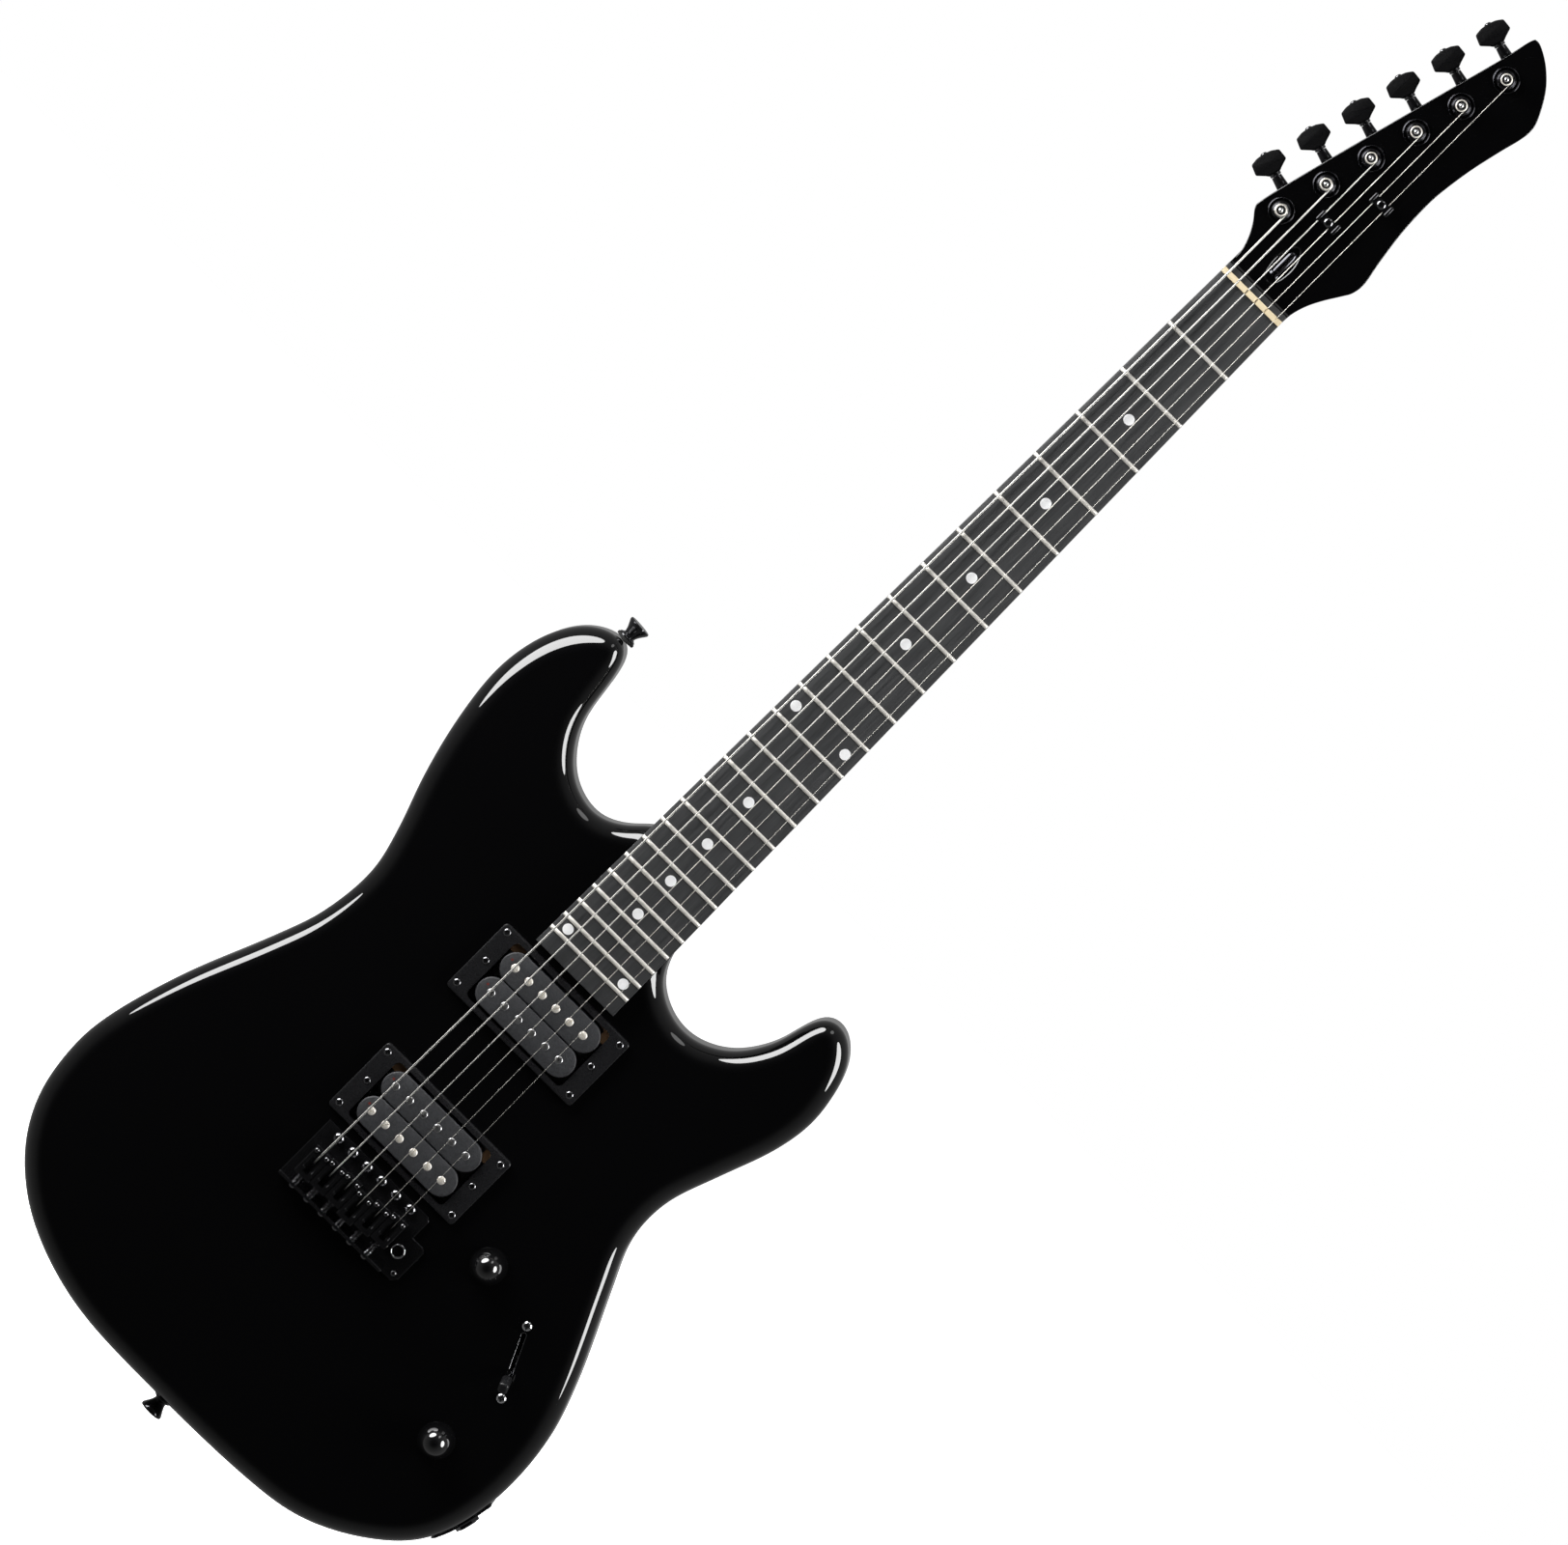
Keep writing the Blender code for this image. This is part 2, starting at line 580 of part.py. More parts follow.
def bobbin_outline(y, radius):
    points = []
    for side in (-1, 1):
        for step in range(6):
            angle = math.pi * (step / 5 - 0.5)
            points.append((side * (34.2 - radius + radius * math.cos(angle)),
                           y + side * radius * math.sin(angle)))
    return points


def make_pickup(name, middle, pole_spacing, lift):
    top = BODY_FRONT + lift
    middle = middle / MM
    pickup = slab(name, [(-34.4, middle - 18.6), (34.4, middle - 18.6), (34.4, middle + 18.6),
                         (-34.4, middle + 18.6)], -5 * MM, -2.5 * MM)
    join(pickup, slab(name + "_legs", [(-41.5, middle - 4.5), (41.5, middle - 4.5),
                                       (41.5, middle + 4.5), (-41.5, middle + 4.5)],
                      -4.8 * MM, -3 * MM))
    for row in (-9.05, 9.05):
        join(pickup, slab(f"{name}_bobbin_{row}", bobbin_outline(middle + row, 8.9),
                          -2.8 * MM, top))
        for index in range(6):
            x = (index - 2.5) * pole_spacing - 0.6 * MM
            y = (middle + row) * MM
            join(pickup, rod(f"{name}_pole_{row}_{index}", (x, y, top - 1 * MM),
                             (x, y, top + 0.8 * MM), 2.4 * MM, 8))
    finish(pickup, BOBBIN_PLASTIC)


# ---------------------------------------------------------------- controls


def make_pot(name, place):
    wall_back = BODY_FRONT - FRONT_WALL
    pot = turned(name, [
        (3.3 * MM, BODY_FRONT + 2.4 * MM), (4.6 * MM, BODY_FRONT + 2.4 * MM),
        (4.6 * MM, wall_back - GAP), (12 * MM, wall_back - GAP), (12 * MM, wall_back - 9 * MM),
        (3.3 * MM, wall_back - 9 * MM),
    ], place)
    finish(pot, STEEL, rounded=True)


def make_knob(name, place):
    knob = turned(name, [
        (0, 18.4 * MM), (3.2 * MM, 18.1 * MM), (6 * MM, 17.2 * MM), (8.2 * MM, 15.7 * MM),
        (9.3 * MM, 13.6 * MM), (9.5 * MM, 12 * MM), (9.9 * MM, 0), (5.4 * MM, 0),
        (5.4 * MM, 3 * MM), (3 * MM, 3 * MM), (3 * MM, -13 * MM), (0, -13 * MM),
    ], place + Vector((0, 0, KNOB_BASE)), steps=20)
    finish(knob, GLOSS_PLASTIC, rounded=True)


def make_switch():
    first, last = SWITCH_SCREWS
    middle = (first + last) / 2
    turn = math.atan2((last - first).y, (last - first).x)
    wall_back = BODY_FRONT - FRONT_WALL - GAP
    frame = box("switch_frame", (-24 * MM, -5 * MM, wall_back - 1.4 * MM), (24 * MM, 5 * MM, wall_back))
    cut(frame, box("frame_slot", (-15 * MM, -2 * MM, -20 * MM), (15 * MM, 2 * MM, 20 * MM)))
    join(frame,
         box("frame_side", (-18 * MM, -5 * MM, -16 * MM), (18 * MM, -3.6 * MM, wall_back - 0.5 * MM)),
         rod("frame_pin", (0, -4.5 * MM, SWITCH_PIVOT_HEIGHT), (0, 3 * MM, SWITCH_PIVOT_HEIGHT),
             1.5 * MM, 12))
    reach = (last - first).length / 2
    for side in (-1, 1):
        x = side * reach
        join(frame,
             rod(f"switch_screw_{side}", (x, 0, wall_back - 1 * MM), (x, 0, BODY_FRONT + 1 * MM),
                 1.5 * MM, 12),
             rod(f"switch_screw_head_{side}", (x, 0, BODY_FRONT + GAP), (x, 0, BODY_FRONT + 2 * MM),
                 2.9 * MM, 14))
    for piece in [frame] + [m.object for m in frame.modifiers]:
        piece.location = middle
        piece.rotation_euler.z = turn
    finish(frame, STEEL)

    lever = rod("switch_lever", (0, -1 * MM, 0), (0, 1 * MM, 0), 5 * MM, 16)
    join(lever, box("lever_blade", (-2 * MM, -0.6 * MM, 3 * MM), (2 * MM, 0.6 * MM, LEVER_REACH)))
    cap = bevel(box("lever_cap", (-2.6 * MM, -2.5 * MM, LEVER_REACH - CAP_LENGTH / 2),
                    (2.6 * MM, 2.5 * MM, LEVER_REACH + CAP_LENGTH / 2)), 1.2 * MM)
    join(lever, cap)
    cut(lever, rod("lever_bore", (0, -3 * MM, 0), (0, 3 * MM, 0), 1.8 * MM, 12))
    for piece in [lever] + [m.object for m in lever.modifiers]:
        piece.location = middle + Vector((0, 0, SWITCH_PIVOT_HEIGHT))
        piece.rotation_mode = "XYZ"
        piece.rotation_euler = (0, SWITCH_LEAN, turn)
    finish(lever, BLACK_PLASTIC)


# ---------------------------------------------------------------- vibrato bridge


def make_bridge():
    plate = slab("bridge_plate", BRIDGE_OUTLINE, PLATE_BOTTOM, PLATE_TOP)
    bevel(plate, 0.4 * MM)
    join(plate,
         box("bridge_lip", (-38.6 * MM, PLATE_REAR, PLATE_BOTTOM + 1 * MM),
             (36 * MM, PLATE_REAR + 1.9 * MM, 24 * MM)),
         rod("arm_collar", ARM_HOLE + Vector((0, 0, 3 * MM)), ARM_HOLE + Vector((0, 0, PLATE_TOP - 1 * MM)),
             4.8 * MM, 20),
         rod("arm_ring", ARM_HOLE + Vector((0, 0, PLATE_BOTTOM + 0.5 * MM)),
             ARM_HOLE + Vector((0, 0, PLATE_TOP + 0.8 * MM)), 3.7 * MM, 20))
    cut(plate, rod("arm_bore", ARM_HOLE, ARM_HOLE + Vector((0, 0, 30 * MM)), 2.95 * MM, 20))
    for index in range(6):
        x, y = saddle_x(index), -644.3 * MM
        cut(plate, rod(f"bridge_screw_bore_{index}", (x, y, 0), (x, y, 30 * MM), 2 * MM, 10))
    plate.data.transform(Matrix.Translation((0, -PIVOT_Y, -PLATE_BOTTOM)))
    plate.location = (0, PIVOT_Y, PLATE_BOTTOM)
    finish(plate, BLACK_METAL)

    block = bevel(slab("vibrato_block", [(-37, -664.5), (29, -664.5), (29, -649), (-37, -649)],
                       BLOCK_BOTTOM, BODY_FRONT), 1 * MM)
    block.data.transform(Matrix.Translation((0, -PIVOT_Y, -PLATE_BOTTOM)))
    block.location = (0, PIVOT_Y, PLATE_BOTTOM)
    finish(block, STEEL)


def make_saddle(index):
    """A block saddle on two height screws, with a groove and a window for its string."""
    middle, front = saddle_x(index), SADDLE_FRONTS[index]
    radius = STRING_RADII[index]
    low, high = 15.8 * MM, BRIDGE_STRING_HEIGHT + 0.2 * MM
    half = 5.1 * MM
    name = f"saddle_{index + 1}"
    saddle = bevel(box(name, (-half, -19 * MM, low), (half, 0, high)), 0.6 * MM)
    groove = radius + GAP
    cut(saddle,
        box(name + "_groove", (-groove, -8 * MM, BRIDGE_STRING_HEIGHT - groove), (groove, 3 * MM, 40 * MM)),
        box(name + "_window", (-1.6 * MM, -15 * MM, 0), (1.6 * MM, -3.9 * MM, 40 * MM)))
    for side in (-1, 1):
        x = side * 3.6 * MM
        join(saddle, rod(f"{name}_screw_{side}", (x, -2.2 * MM, PLATE_TOP + GAP),
                         (x, -2.2 * MM, high + 0.4 * MM), 1.25 * MM, 8))
    for piece in [saddle] + [m.object for m in saddle.modifiers if m.type == "BOOLEAN"]:
        piece.location = (middle, front, 0)
    finish(saddle, BLACK_METAL)


def make_springs():
    height = SPRING_HEIGHT
    claw = box("spring_claw", (-28 * MM, -558 * MM, height - 4.5 * MM), (24 * MM, -556 * MM, height + 5 * MM))
    for side in (-1, 1):
        x = BRIDGE_CENTRE + side * 8 * MM
        join(claw, rod(f"claw_screw_{side}", (x, -561 * MM, height), (x, -520 * MM, height), 2 * MM, 12),
             rod(f"claw_screw_head_{side}", (x, -562 * MM, height), (x, -559 * MM, height), 3.6 * MM, 12))
    finish(claw, STEEL)
    for index, x in enumerate(SPRING_PLACES):
        claw_end, block_end = -558.4 * MM, -648.6 * MM
        spring = rod(f"vibrato_spring_{index + 1}", (x, -568 * MM, height), (x, -640 * MM, height),
                     3.9 * MM, 14)
        join(spring, rod(f"spring_hook_a_{index}", (x, claw_end, height), (x, -569 * MM, height),
                         0.9 * MM, 8),
             rod(f"spring_hook_b_{index}", (x, -639 * MM, height), (x, block_end, height), 0.9 * MM, 8))
        finish(spring, STEEL, rounded=True)


# ---------------------------------------------------------------- tuners


def set_tuner(piece, index, along=0.0, height=0.0):
    """Places a tuner's piece, and what is joined to it or cut from it, at its post."""
    turn = Matrix.Rotation(-TUNER_TILT, 4, "Z")
    pieces = [piece] + [m.object for m in piece.modifiers if m.type == "BOOLEAN"]
    for each in pieces:
        each.rotation_mode = "QUATERNION"
        each.rotation_quaternion = turn.to_quaternion() @ each.rotation_quaternion
        each.location = post_place(index) + turn @ Vector((0, along, height))


def make_tuner_housing(index):
    name = f"tuner_housing_{index + 1}"
    top = HEAD_BACK - GAP
    case = bevel(box(name, (-10 * MM, -7.5 * MM, top - 11 * MM), (8.5 * MM, 10.5 * MM, top)), 1.2 * MM)
    boss = rod(name + "_boss", (-15.3 * MM, WORM_OFFSET, GEAR_HEIGHT), (-9.4 * MM, WORM_OFFSET, GEAR_HEIGHT),
               3 * MM, 10)
    bushing = turned(name + "_bushing", [
        (0, 13.3 * MM), (6 * MM, 13.3 * MM), (6 * MM, 11.4 * MM), (7.2 * MM, 11.2 * MM),
        (7.2 * MM, HEAD_FRONT + GAP), (4.6 * MM, HEAD_FRONT + GAP), (4.6 * MM, top - 0.7 * MM),
        (0, top - 0.7 * MM),
    ], steps=14)
    join(case, boss, bushing)
    cut(case,
        box(name + "_inside", (-8.6 * MM, -6.1 * MM, top - 9.6 * MM), (7.1 * MM, 9.1 * MM, top - 1.4 * MM)),
        rod(name + "_post_bore", (0, 0, top - 5 * MM), (0, 0, 20 * MM), 3.4 * MM, 14),
        rod(name + "_key_bore", (-20 * MM, WORM_OFFSET, GEAR_HEIGHT), (-5 * MM, WORM_OFFSET, GEAR_HEIGHT),
            1.8 * MM, 10))
    set_tuner(case, index)
    finish(case, BLACK_METAL)


def make_tuner_post(index):
    wrap = wrap_radius(index) - STRING_RADII[index] - GAP
    post = turned(f"tuner_post_{index + 1}", [
        (0, POST_TOP), (2.2 * MM, POST_TOP - 0.1 * MM), (POST_RADIUS, POST_TOP - 0.9 * MM),
        (POST_RADIUS, 21.5 * MM), (WAIST_RADIUS, 20 * MM), (WAIST_RADIUS, WRAP_HIGH + 0.2 * MM),
        (wrap, WRAP_HIGH), (wrap, WRAP_LOW), (WAIST_RADIUS, WRAP_LOW - 0.2 * MM),
        (POST_RADIUS, 13.6 * MM), (POST_RADIUS, GEAR_HEIGHT + 1.6 * MM),
        (4.9 * MM, GEAR_HEIGHT + 1.5 * MM), (4.9 * MM, GEAR_HEIGHT - 1.5 * MM),
        (0, GEAR_HEIGHT - 1.6 * MM),
    ], steps=12)
    set_tuner(post, index)
    finish(post, CHROME, rounded=True)


def make_tuner_key(index):
    name = f"tuner_key_{index + 1}"
    half = BUTTON_THICKNESS / 2
    key = bevel(slab(name, BUTTON_OUTLINE, -half, half), 1.1 * MM, 1, 50)
    join(key, rod(name + "_shaft", (-20 * MM, 0, 0), (5.5 * MM, 0, 0), 1.45 * MM, 10),
         rod(name + "_washer", (-17.6 * MM, 0, 0), (-16 * MM, 0, 0), 2.7 * MM, 10))
    set_tuner(key, index, WORM_OFFSET, GEAR_HEIGHT)
    finish(key, BLACK_PLASTIC)


def make_string_tree(number, x, y, string_height):
    name = f"string_tree_{number}"
    tree = bevel(box(name, (-6 * MM, -2.6 * MM, string_height + 0.6 * MM),
                     (6 * MM, 2.6 * MM, string_height + 2.2 * MM)), 0.4 * MM)
    join(tree, rod(name + "_post", (0, 0, HEAD_FRONT + GAP), (0, 0, string_height + 2.8 * MM), 1.6 * MM, 12))
    for piece in [tree] + [m.object for m in tree.modifiers if m.type == "BOOLEAN"]:
        piece.location = (x, y, 0)
    finish(tree, CHROME)


# ---------------------------------------------------------------- strings

TREES = {2: (1, 57.9 * MM), 3: (1, 57.9 * MM), 4: (2, 83.7 * MM), 5: (2, 83.7 * MM)}
TREE_STRING_HEIGHT = 16 * MM


def make_string(index):
    """From its winding on the post, over the nut, to the window in its saddle."""
    radius = STRING_RADII[index]
    post = post_place(index)
    wrap_height = (WRAP_LOW + WRAP_HIGH) / 2
    x_start = post.x + wrap_radius(index)
    points = [(x_start, post.y, wrap_height)]
    if index in TREES:
        y = TREES[index][1]
        share = (y - NUT_BACK) / (post.y - NUT_BACK)
        points.append((nut_x(index) + share * (x_start - nut_x(index)), y, TREE_STRING_HEIGHT))
    points += [(nut_x(index), NUT_BACK, NUT_STRING_HEIGHT), (nut_x(index), NUT_FRONT, NUT_STRING_HEIGHT)]
    x, y = saddle_x(index), SADDLE_FRONTS[index] - BREAK_BACK
    points += [(x, y, BRIDGE_STRING_HEIGHT), (x, y - 5.5 * MM, BRIDGE_STRING_HEIGHT - 1 * MM),
               (x, y - 9 * MM, BRIDGE_STRING_HEIGHT - 5 * MM)]
    string = wire(f"string_{index + 1}", points, radius)
    finish(string, STEEL)


# ---------------------------------------------------------------- the whole guitar

make_body()
make_neck()
make_fretboard()
make_nut()
make_truss_rod()
make_neck_plate()
make_covers()
make_strap_button("strap_button_horn", *HORN_BUTTON)
make_strap_button("strap_button_tail", *TAIL_BUTTON)
make_jack()
make_ring("neck_pickup_ring", NECK_PICKUP_Y)
make_ring("bridge_pickup_ring", BRIDGE_PICKUP_Y)
make_pickup("neck_pickup", NECK_PICKUP_Y, 9.95 * MM, 6 * MM)
make_pickup("bridge_pickup", BRIDGE_PICKUP_Y, 10.3 * MM, 7 * MM)
make_pot("volume_pot", VOLUME_PLACE)
make_pot("tone_pot", TONE_PLACE)
make_knob("volume_knob", VOLUME_PLACE)
make_knob("tone_knob", TONE_PLACE)
make_switch()
make_bridge()
make_springs()
make_string_tree(1, 1.3 * MM, 57.9 * MM, TREE_STRING_HEIGHT)
make_string_tree(2, 14.2 * MM, 83.7 * MM, TREE_STRING_HEIGHT)
for number in range(6):
    make_saddle(number)
    make_tuner_housing(number)
    make_tuner_post(number)
    make_tuner_key(number)
    make_string(number)
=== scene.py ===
from math import atan2, copysign, cos, pi, radians, sin, tau

import bmesh
import bpy
from mathutils import Matrix, Vector


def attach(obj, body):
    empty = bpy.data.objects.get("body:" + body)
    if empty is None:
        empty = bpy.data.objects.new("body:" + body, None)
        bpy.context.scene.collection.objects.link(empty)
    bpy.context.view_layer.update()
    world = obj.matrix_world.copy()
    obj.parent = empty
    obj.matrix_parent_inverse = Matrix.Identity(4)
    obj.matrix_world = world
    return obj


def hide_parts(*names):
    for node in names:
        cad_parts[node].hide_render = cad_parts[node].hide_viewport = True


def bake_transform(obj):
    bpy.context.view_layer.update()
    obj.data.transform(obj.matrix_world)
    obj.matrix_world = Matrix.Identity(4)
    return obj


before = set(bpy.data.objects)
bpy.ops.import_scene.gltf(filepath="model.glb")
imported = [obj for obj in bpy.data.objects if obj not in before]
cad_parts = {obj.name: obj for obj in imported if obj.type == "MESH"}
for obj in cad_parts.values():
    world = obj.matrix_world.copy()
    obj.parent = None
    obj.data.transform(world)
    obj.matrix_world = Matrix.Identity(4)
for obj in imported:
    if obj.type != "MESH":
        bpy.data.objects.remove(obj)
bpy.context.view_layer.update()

# Shapes are drawn on a bench, in millimetres: X across the strings, Y along the neck to the
# headstock, Z up from the back of the neck. BENCH stands them up in the frame.
MM = 0.001
BENCH = Matrix.Rotation(pi / 2, 4, "X") @ Matrix.Scale(MM, 4)

BOARD_TOP, BOARD_BOTTOM = 20.5, 14.5
BODY_FRONT, BODY_BACK = 11.5, -33.0
BODY_MIDDLE = (BODY_FRONT + BODY_BACK) / 2
HEAD_FRONT, HEAD_BACK = 10.0, -4.0
HEEL_BACK = -4.9
SCALE_LENGTH = 647.7
BOARD_END = -496.8
BOARD_RADIUS = 305.0
NUT_HALF, END_HALF = 20.7, 28.35
NUT_FRONT, NUT_BACK = 1.4, 4.7
STRING_RADII = [0.584, 0.457, 0.33, 0.216, 0.165, 0.127]
NUT_STRING_HEIGHT = 21.9
BRIDGE_STRING_HEIGHT = 25.2
SCREW_ROW, BRIDGE_TAIL, INTONATION_Z = -644.3, -678.4, 20.2
SADDLE_FRONTS = [-653, -652.3, -651.6, -653.6, -651.2, -649.6]
TUNER_TILT = radians(14.8)
FIRST_POST, LAST_POST = Vector((-20.5, 45.3, 0)), Vector((14.6, 174.7, 0))
WORM_OFFSET, GEAR_HEIGHT = 6.8, -9.8
TREE_PLACES = [(1.3, 57.9), (14.2, 83.7)]
PLATE_BOTTOM, PLATE_TOP = BODY_FRONT + 0.3, BODY_FRONT + 2.6
ARM_HOLE = Vector((35.1, -664.6, 0))
SPRING_HEIGHT = -24.0
ROLL, PICTURE_WIDTH = 0.7812, 0.8156
BODY_CENTRE = Vector((0, 0, -0.45))
SWITCH_SCREWS = (Vector((110.8, -645, 0)), Vector((127.9, -681.6, 0)))
SWITCH_PIVOT = -6.5
SWITCH_LEAN = radians(18.5)
JACK_PLACE, JACK_AXIS = Vector((160, -744, BODY_MIDDLE)), Vector((0.968, -0.252, 0)).normalized()
VOLUME_PLACE, TONE_PLACE = Vector((74.4, -636.3, 0)), Vector((119.4, -721, 0))
NECK_PICKUP_Y, BRIDGE_PICKUP_Y = -524.3, -612.5

BODY_OUTLINE = [(-22, -410), (-37.5, -423), (-52, -430), (-69, -427), (-82, -417), (-92, -400), (-96, -375),
    (-99.5, -361), (-107, -355), (-121, -359.5), (-132, -371), (-140, -390), (-143, -415), (-139, -447),
    (-131, -479), (-121, -508), (-115, -535), (-118.6, -568), (-129, -598), (-147, -642), (-159, -682),
    (-162, -711), (-156, -744), (-138, -772), (-107, -794), (-62, -807.5), (-2, -810), (60, -808.5),
    (98, -802.5), (131, -785), (153, -762), (163, -728), (162, -687), (150.5, -650), (129, -603),
    (118, -577), (117, -549), (127, -519), (138, -488), (141.5, -461), (135, -433), (122, -419),
    (109, -419.5), (103, -431), (98, -449), (86, -467), (69, -477), (52, -477.5), (36, -469.5), (28.5, -458),
    (22, -436), (3, -415)]
HEAD_OUTLINE = [(-20.6, -4), (-20.6, 2), (-20.6, 8), (-20.7, 16), (-23.2, 24), (-27, 31), (-31.6, 37.2),
    (-31.6, 41.5), (-29.6, 51), (-22, 80.5), (-4.8, 144), (5.3, 181), (9.2, 197.4), (11.8, 200.3),
    (17.4, 198.4), (25.4, 193), (33.4, 184.6), (40, 173.2), (42.2, 166), (41.4, 158), (38.3, 146),
    (34.3, 128), (31.7, 110), (31.2, 97), (32.1, 80), (34.6, 62), (36.9, 49), (36, 41.2), (33, 35.7),
    (28, 27.7), (23.9, 19.7), (21.4, 12), (20.7, 6), (20.7, 2), (20.7, -4)]
CONTROL_CAVITY = [(59, -622), (95, -617), (127, -638), (142, -672), (147, -712), (140, -741), (118, -750),
    (98, -739), (92, -705), (83, -672), (61, -656)]
ROD_MOUTH = [(0, 15.3), (2.8, 16.8), (4.3, 23), (4.3, 29), (2.6, 34.8), (0, 37.4), (-2.6, 34.8), (-4.3, 29),
    (-4.3, 23), (-2.8, 16.8)]
NECK_PLATE = [(-27, -440), (9, -440), (17, -452), (25, -478), (25, -492), (-27, -492)]
NECK_SCREWS = [(-20, -447), (3, -447), (-20, -485), (18, -485)]
BRIDGE_OUTLINE = [(-38.6, -640.6), (34, -640.6), (36, -642.5), (36, -654.2), (43.6, -654.2), (45.6, -656.2),
    (45.6, -675), (43, BRIDGE_TAIL), (-38.6, BRIDGE_TAIL)]
BLOCK_SLOT = [(-38, -646), (35.5, -646), (35.5, -656), (41, -656), (41, -676.5), (-38, -676.5)]
BUTTON_OUTLINE = [(-18.6, -3.4), (-19.6, -4.4), (-22.6, -9.2), (-28.4, -8.3), (-29.9, -4.4), (-30.4, 0),
    (-29.9, 4.4), (-28.4, 8.3), (-22.6, 9.2), (-19.6, 4.4), (-18.6, 3.4)]


# ---- materials


def fill(node, **values):
    """Constants on a node's sockets, an underscore standing for a space in their names."""
    for name, value in values.items():
        node.inputs[name.replace("_", " ")].default_value = value
    return node


def material(name, colour, roughness, metallic=0.0, other=None, scale=400.0, stretch=(1, 1, 1),
        bump=0.1, depth=0.0001, spread=0.05, coat=0.0, coat_roughness=0.03, coat_ior=1.5, specular=0.5,
        detail=4.0, emission=0.0):
    """A Principled finish whose colour, roughness and relief vary with one noise."""
    made = bpy.data.materials.new(name)
    made.use_nodes = True
    nodes, link = made.node_tree.nodes, made.node_tree.links.new
    place = nodes.new("ShaderNodeTexCoord")
    mapping = fill(nodes.new("ShaderNodeMapping"), Scale=stretch)
    noise = fill(nodes.new("ShaderNodeTexNoise"), Scale=scale, Detail=detail)
    mix = nodes.new("ShaderNodeMix")
    mix.data_type = "RGBA"
    fill(mix, A=(*colour, 1), B=(*(other or [c * 1.25 for c in colour]), 1))
    grade = fill(nodes.new("ShaderNodeMapRange"), From_Min=0.3, From_Max=0.7,
        To_Min=max(0.02, roughness - spread), To_Max=min(1.0, roughness + spread))
    relief = fill(nodes.new("ShaderNodeBump"), Strength=bump, Distance=depth)
    shader = fill(nodes["Principled BSDF"], Metallic=metallic, Coat_Weight=coat, Coat_IOR=coat_ior,
        Coat_Roughness=coat_roughness, Specular_IOR_Level=specular)
    if emission:
        fill(shader, Emission_Color=(1, 1, 1, 1), Emission_Strength=emission)
    link(place.outputs["Object"], mapping.inputs["Vector"])
    link(mapping.outputs["Vector"], noise.inputs["Vector"])
    link(noise.outputs["Fac"], mix.inputs["Factor"])
    link(mix.outputs["Result"], shader.inputs["Base Color"])
    link(noise.outputs["Fac"], grade.inputs["Value"])
    link(grade.outputs["Result"], shader.inputs["Roughness"])
    link(noise.outputs["Fac"], relief.inputs["Height"])
    link(relief.outputs["Normal"], shader.inputs["Normal"])
    return made


LACQUER = material("gloss_lacquer", (0.0016, 0.0016, 0.0018), 0.4, scale=9, bump=0.004,
    spread=0.03, coat=1.0, coat_roughness=0.02, coat_ior=1.75, specular=0.0)
BOARD = material("board_wood", (0.024, 0.025, 0.026), 0.5, other=(0.058, 0.059, 0.061),
    scale=26, stretch=(42, 42, 1.6), bump=0.35, depth=0.0002, spread=0.12, detail=8)
RAW_WOOD = material("raw_wood", (0.25, 0.13, 0.06), 0.7, other=(0.38, 0.22, 0.11), scale=30,
    stretch=(30, 30, 1.5), bump=0.4, depth=0.0002)
FRET_METAL = material("fret_metal", (0.9, 0.87, 0.8), 0.34, 0.45, other=(0.96, 0.93, 0.87),
    scale=900, bump=0.05)
MARKER = material("marker_plastic", (0.9, 0.91, 0.92), 0.3, other=(1.0, 1.0, 1.0), scale=300,
    bump=0.02)
BONE = material("polished_bone", (0.8, 0.66, 0.42), 0.4, other=(0.84, 0.72, 0.5), scale=500,
    bump=0.05)
CHROME = material("bright_chrome", (0.82, 0.83, 0.85), 0.09, 1.0, other=(0.9, 0.9, 0.92),
    scale=600, bump=0.02, spread=0.03)
STEEL = material("plain_steel", (0.55, 0.55, 0.56), 0.32, 1.0, other=(0.68, 0.68, 0.68), scale=500,
    bump=0.08, spread=0.08)
PLAIN_STRING = material("plain_string", (0.62, 0.6, 0.55), 0.34, 1.0, scale=2000, bump=0.02)
POLE = material("pole_steel", (0.93, 0.88, 0.78), 0.42, 0.5, other=(0.97, 0.93, 0.86), scale=700,
    bump=0.06)
BLACK_METAL = material("black_plating", (0.035, 0.035, 0.038), 0.14, 0.9,
    other=(0.055, 0.055, 0.06), scale=350, bump=0.04, spread=0.04, coat=0.6, coat_roughness=0.05)
SMOKED_CHROME = material("smoked_chrome", (0.06, 0.06, 0.065), 0.14, 1.0,
    other=(0.1, 0.1, 0.11), scale=420, bump=0.03, spread=0.03)
SCREW_METAL = material("black_screws", (0.2, 0.2, 0.21), 0.15, 1.0, other=(0.32, 0.32, 0.33),
    scale=500, bump=0.05)
SATIN_PLASTIC = material("satin_plastic", (0.008, 0.008, 0.009), 0.3,
    other=(0.013, 0.013, 0.014), scale=900, bump=0.12, spread=0.06)
BUTTON_PLASTIC = material("button_plastic", (0.004, 0.004, 0.0045), 0.5,
    other=(0.007, 0.007, 0.0075), scale=1300, bump=0.3, spread=0.08, specular=0.12)
GLOSS_PLASTIC = material("knob_plastic", (0.003, 0.003, 0.0033), 0.4, scale=120, bump=0.01,
    spread=0.03, coat=1.0, coat_roughness=0.03, coat_ior=2.0, specular=0.0)
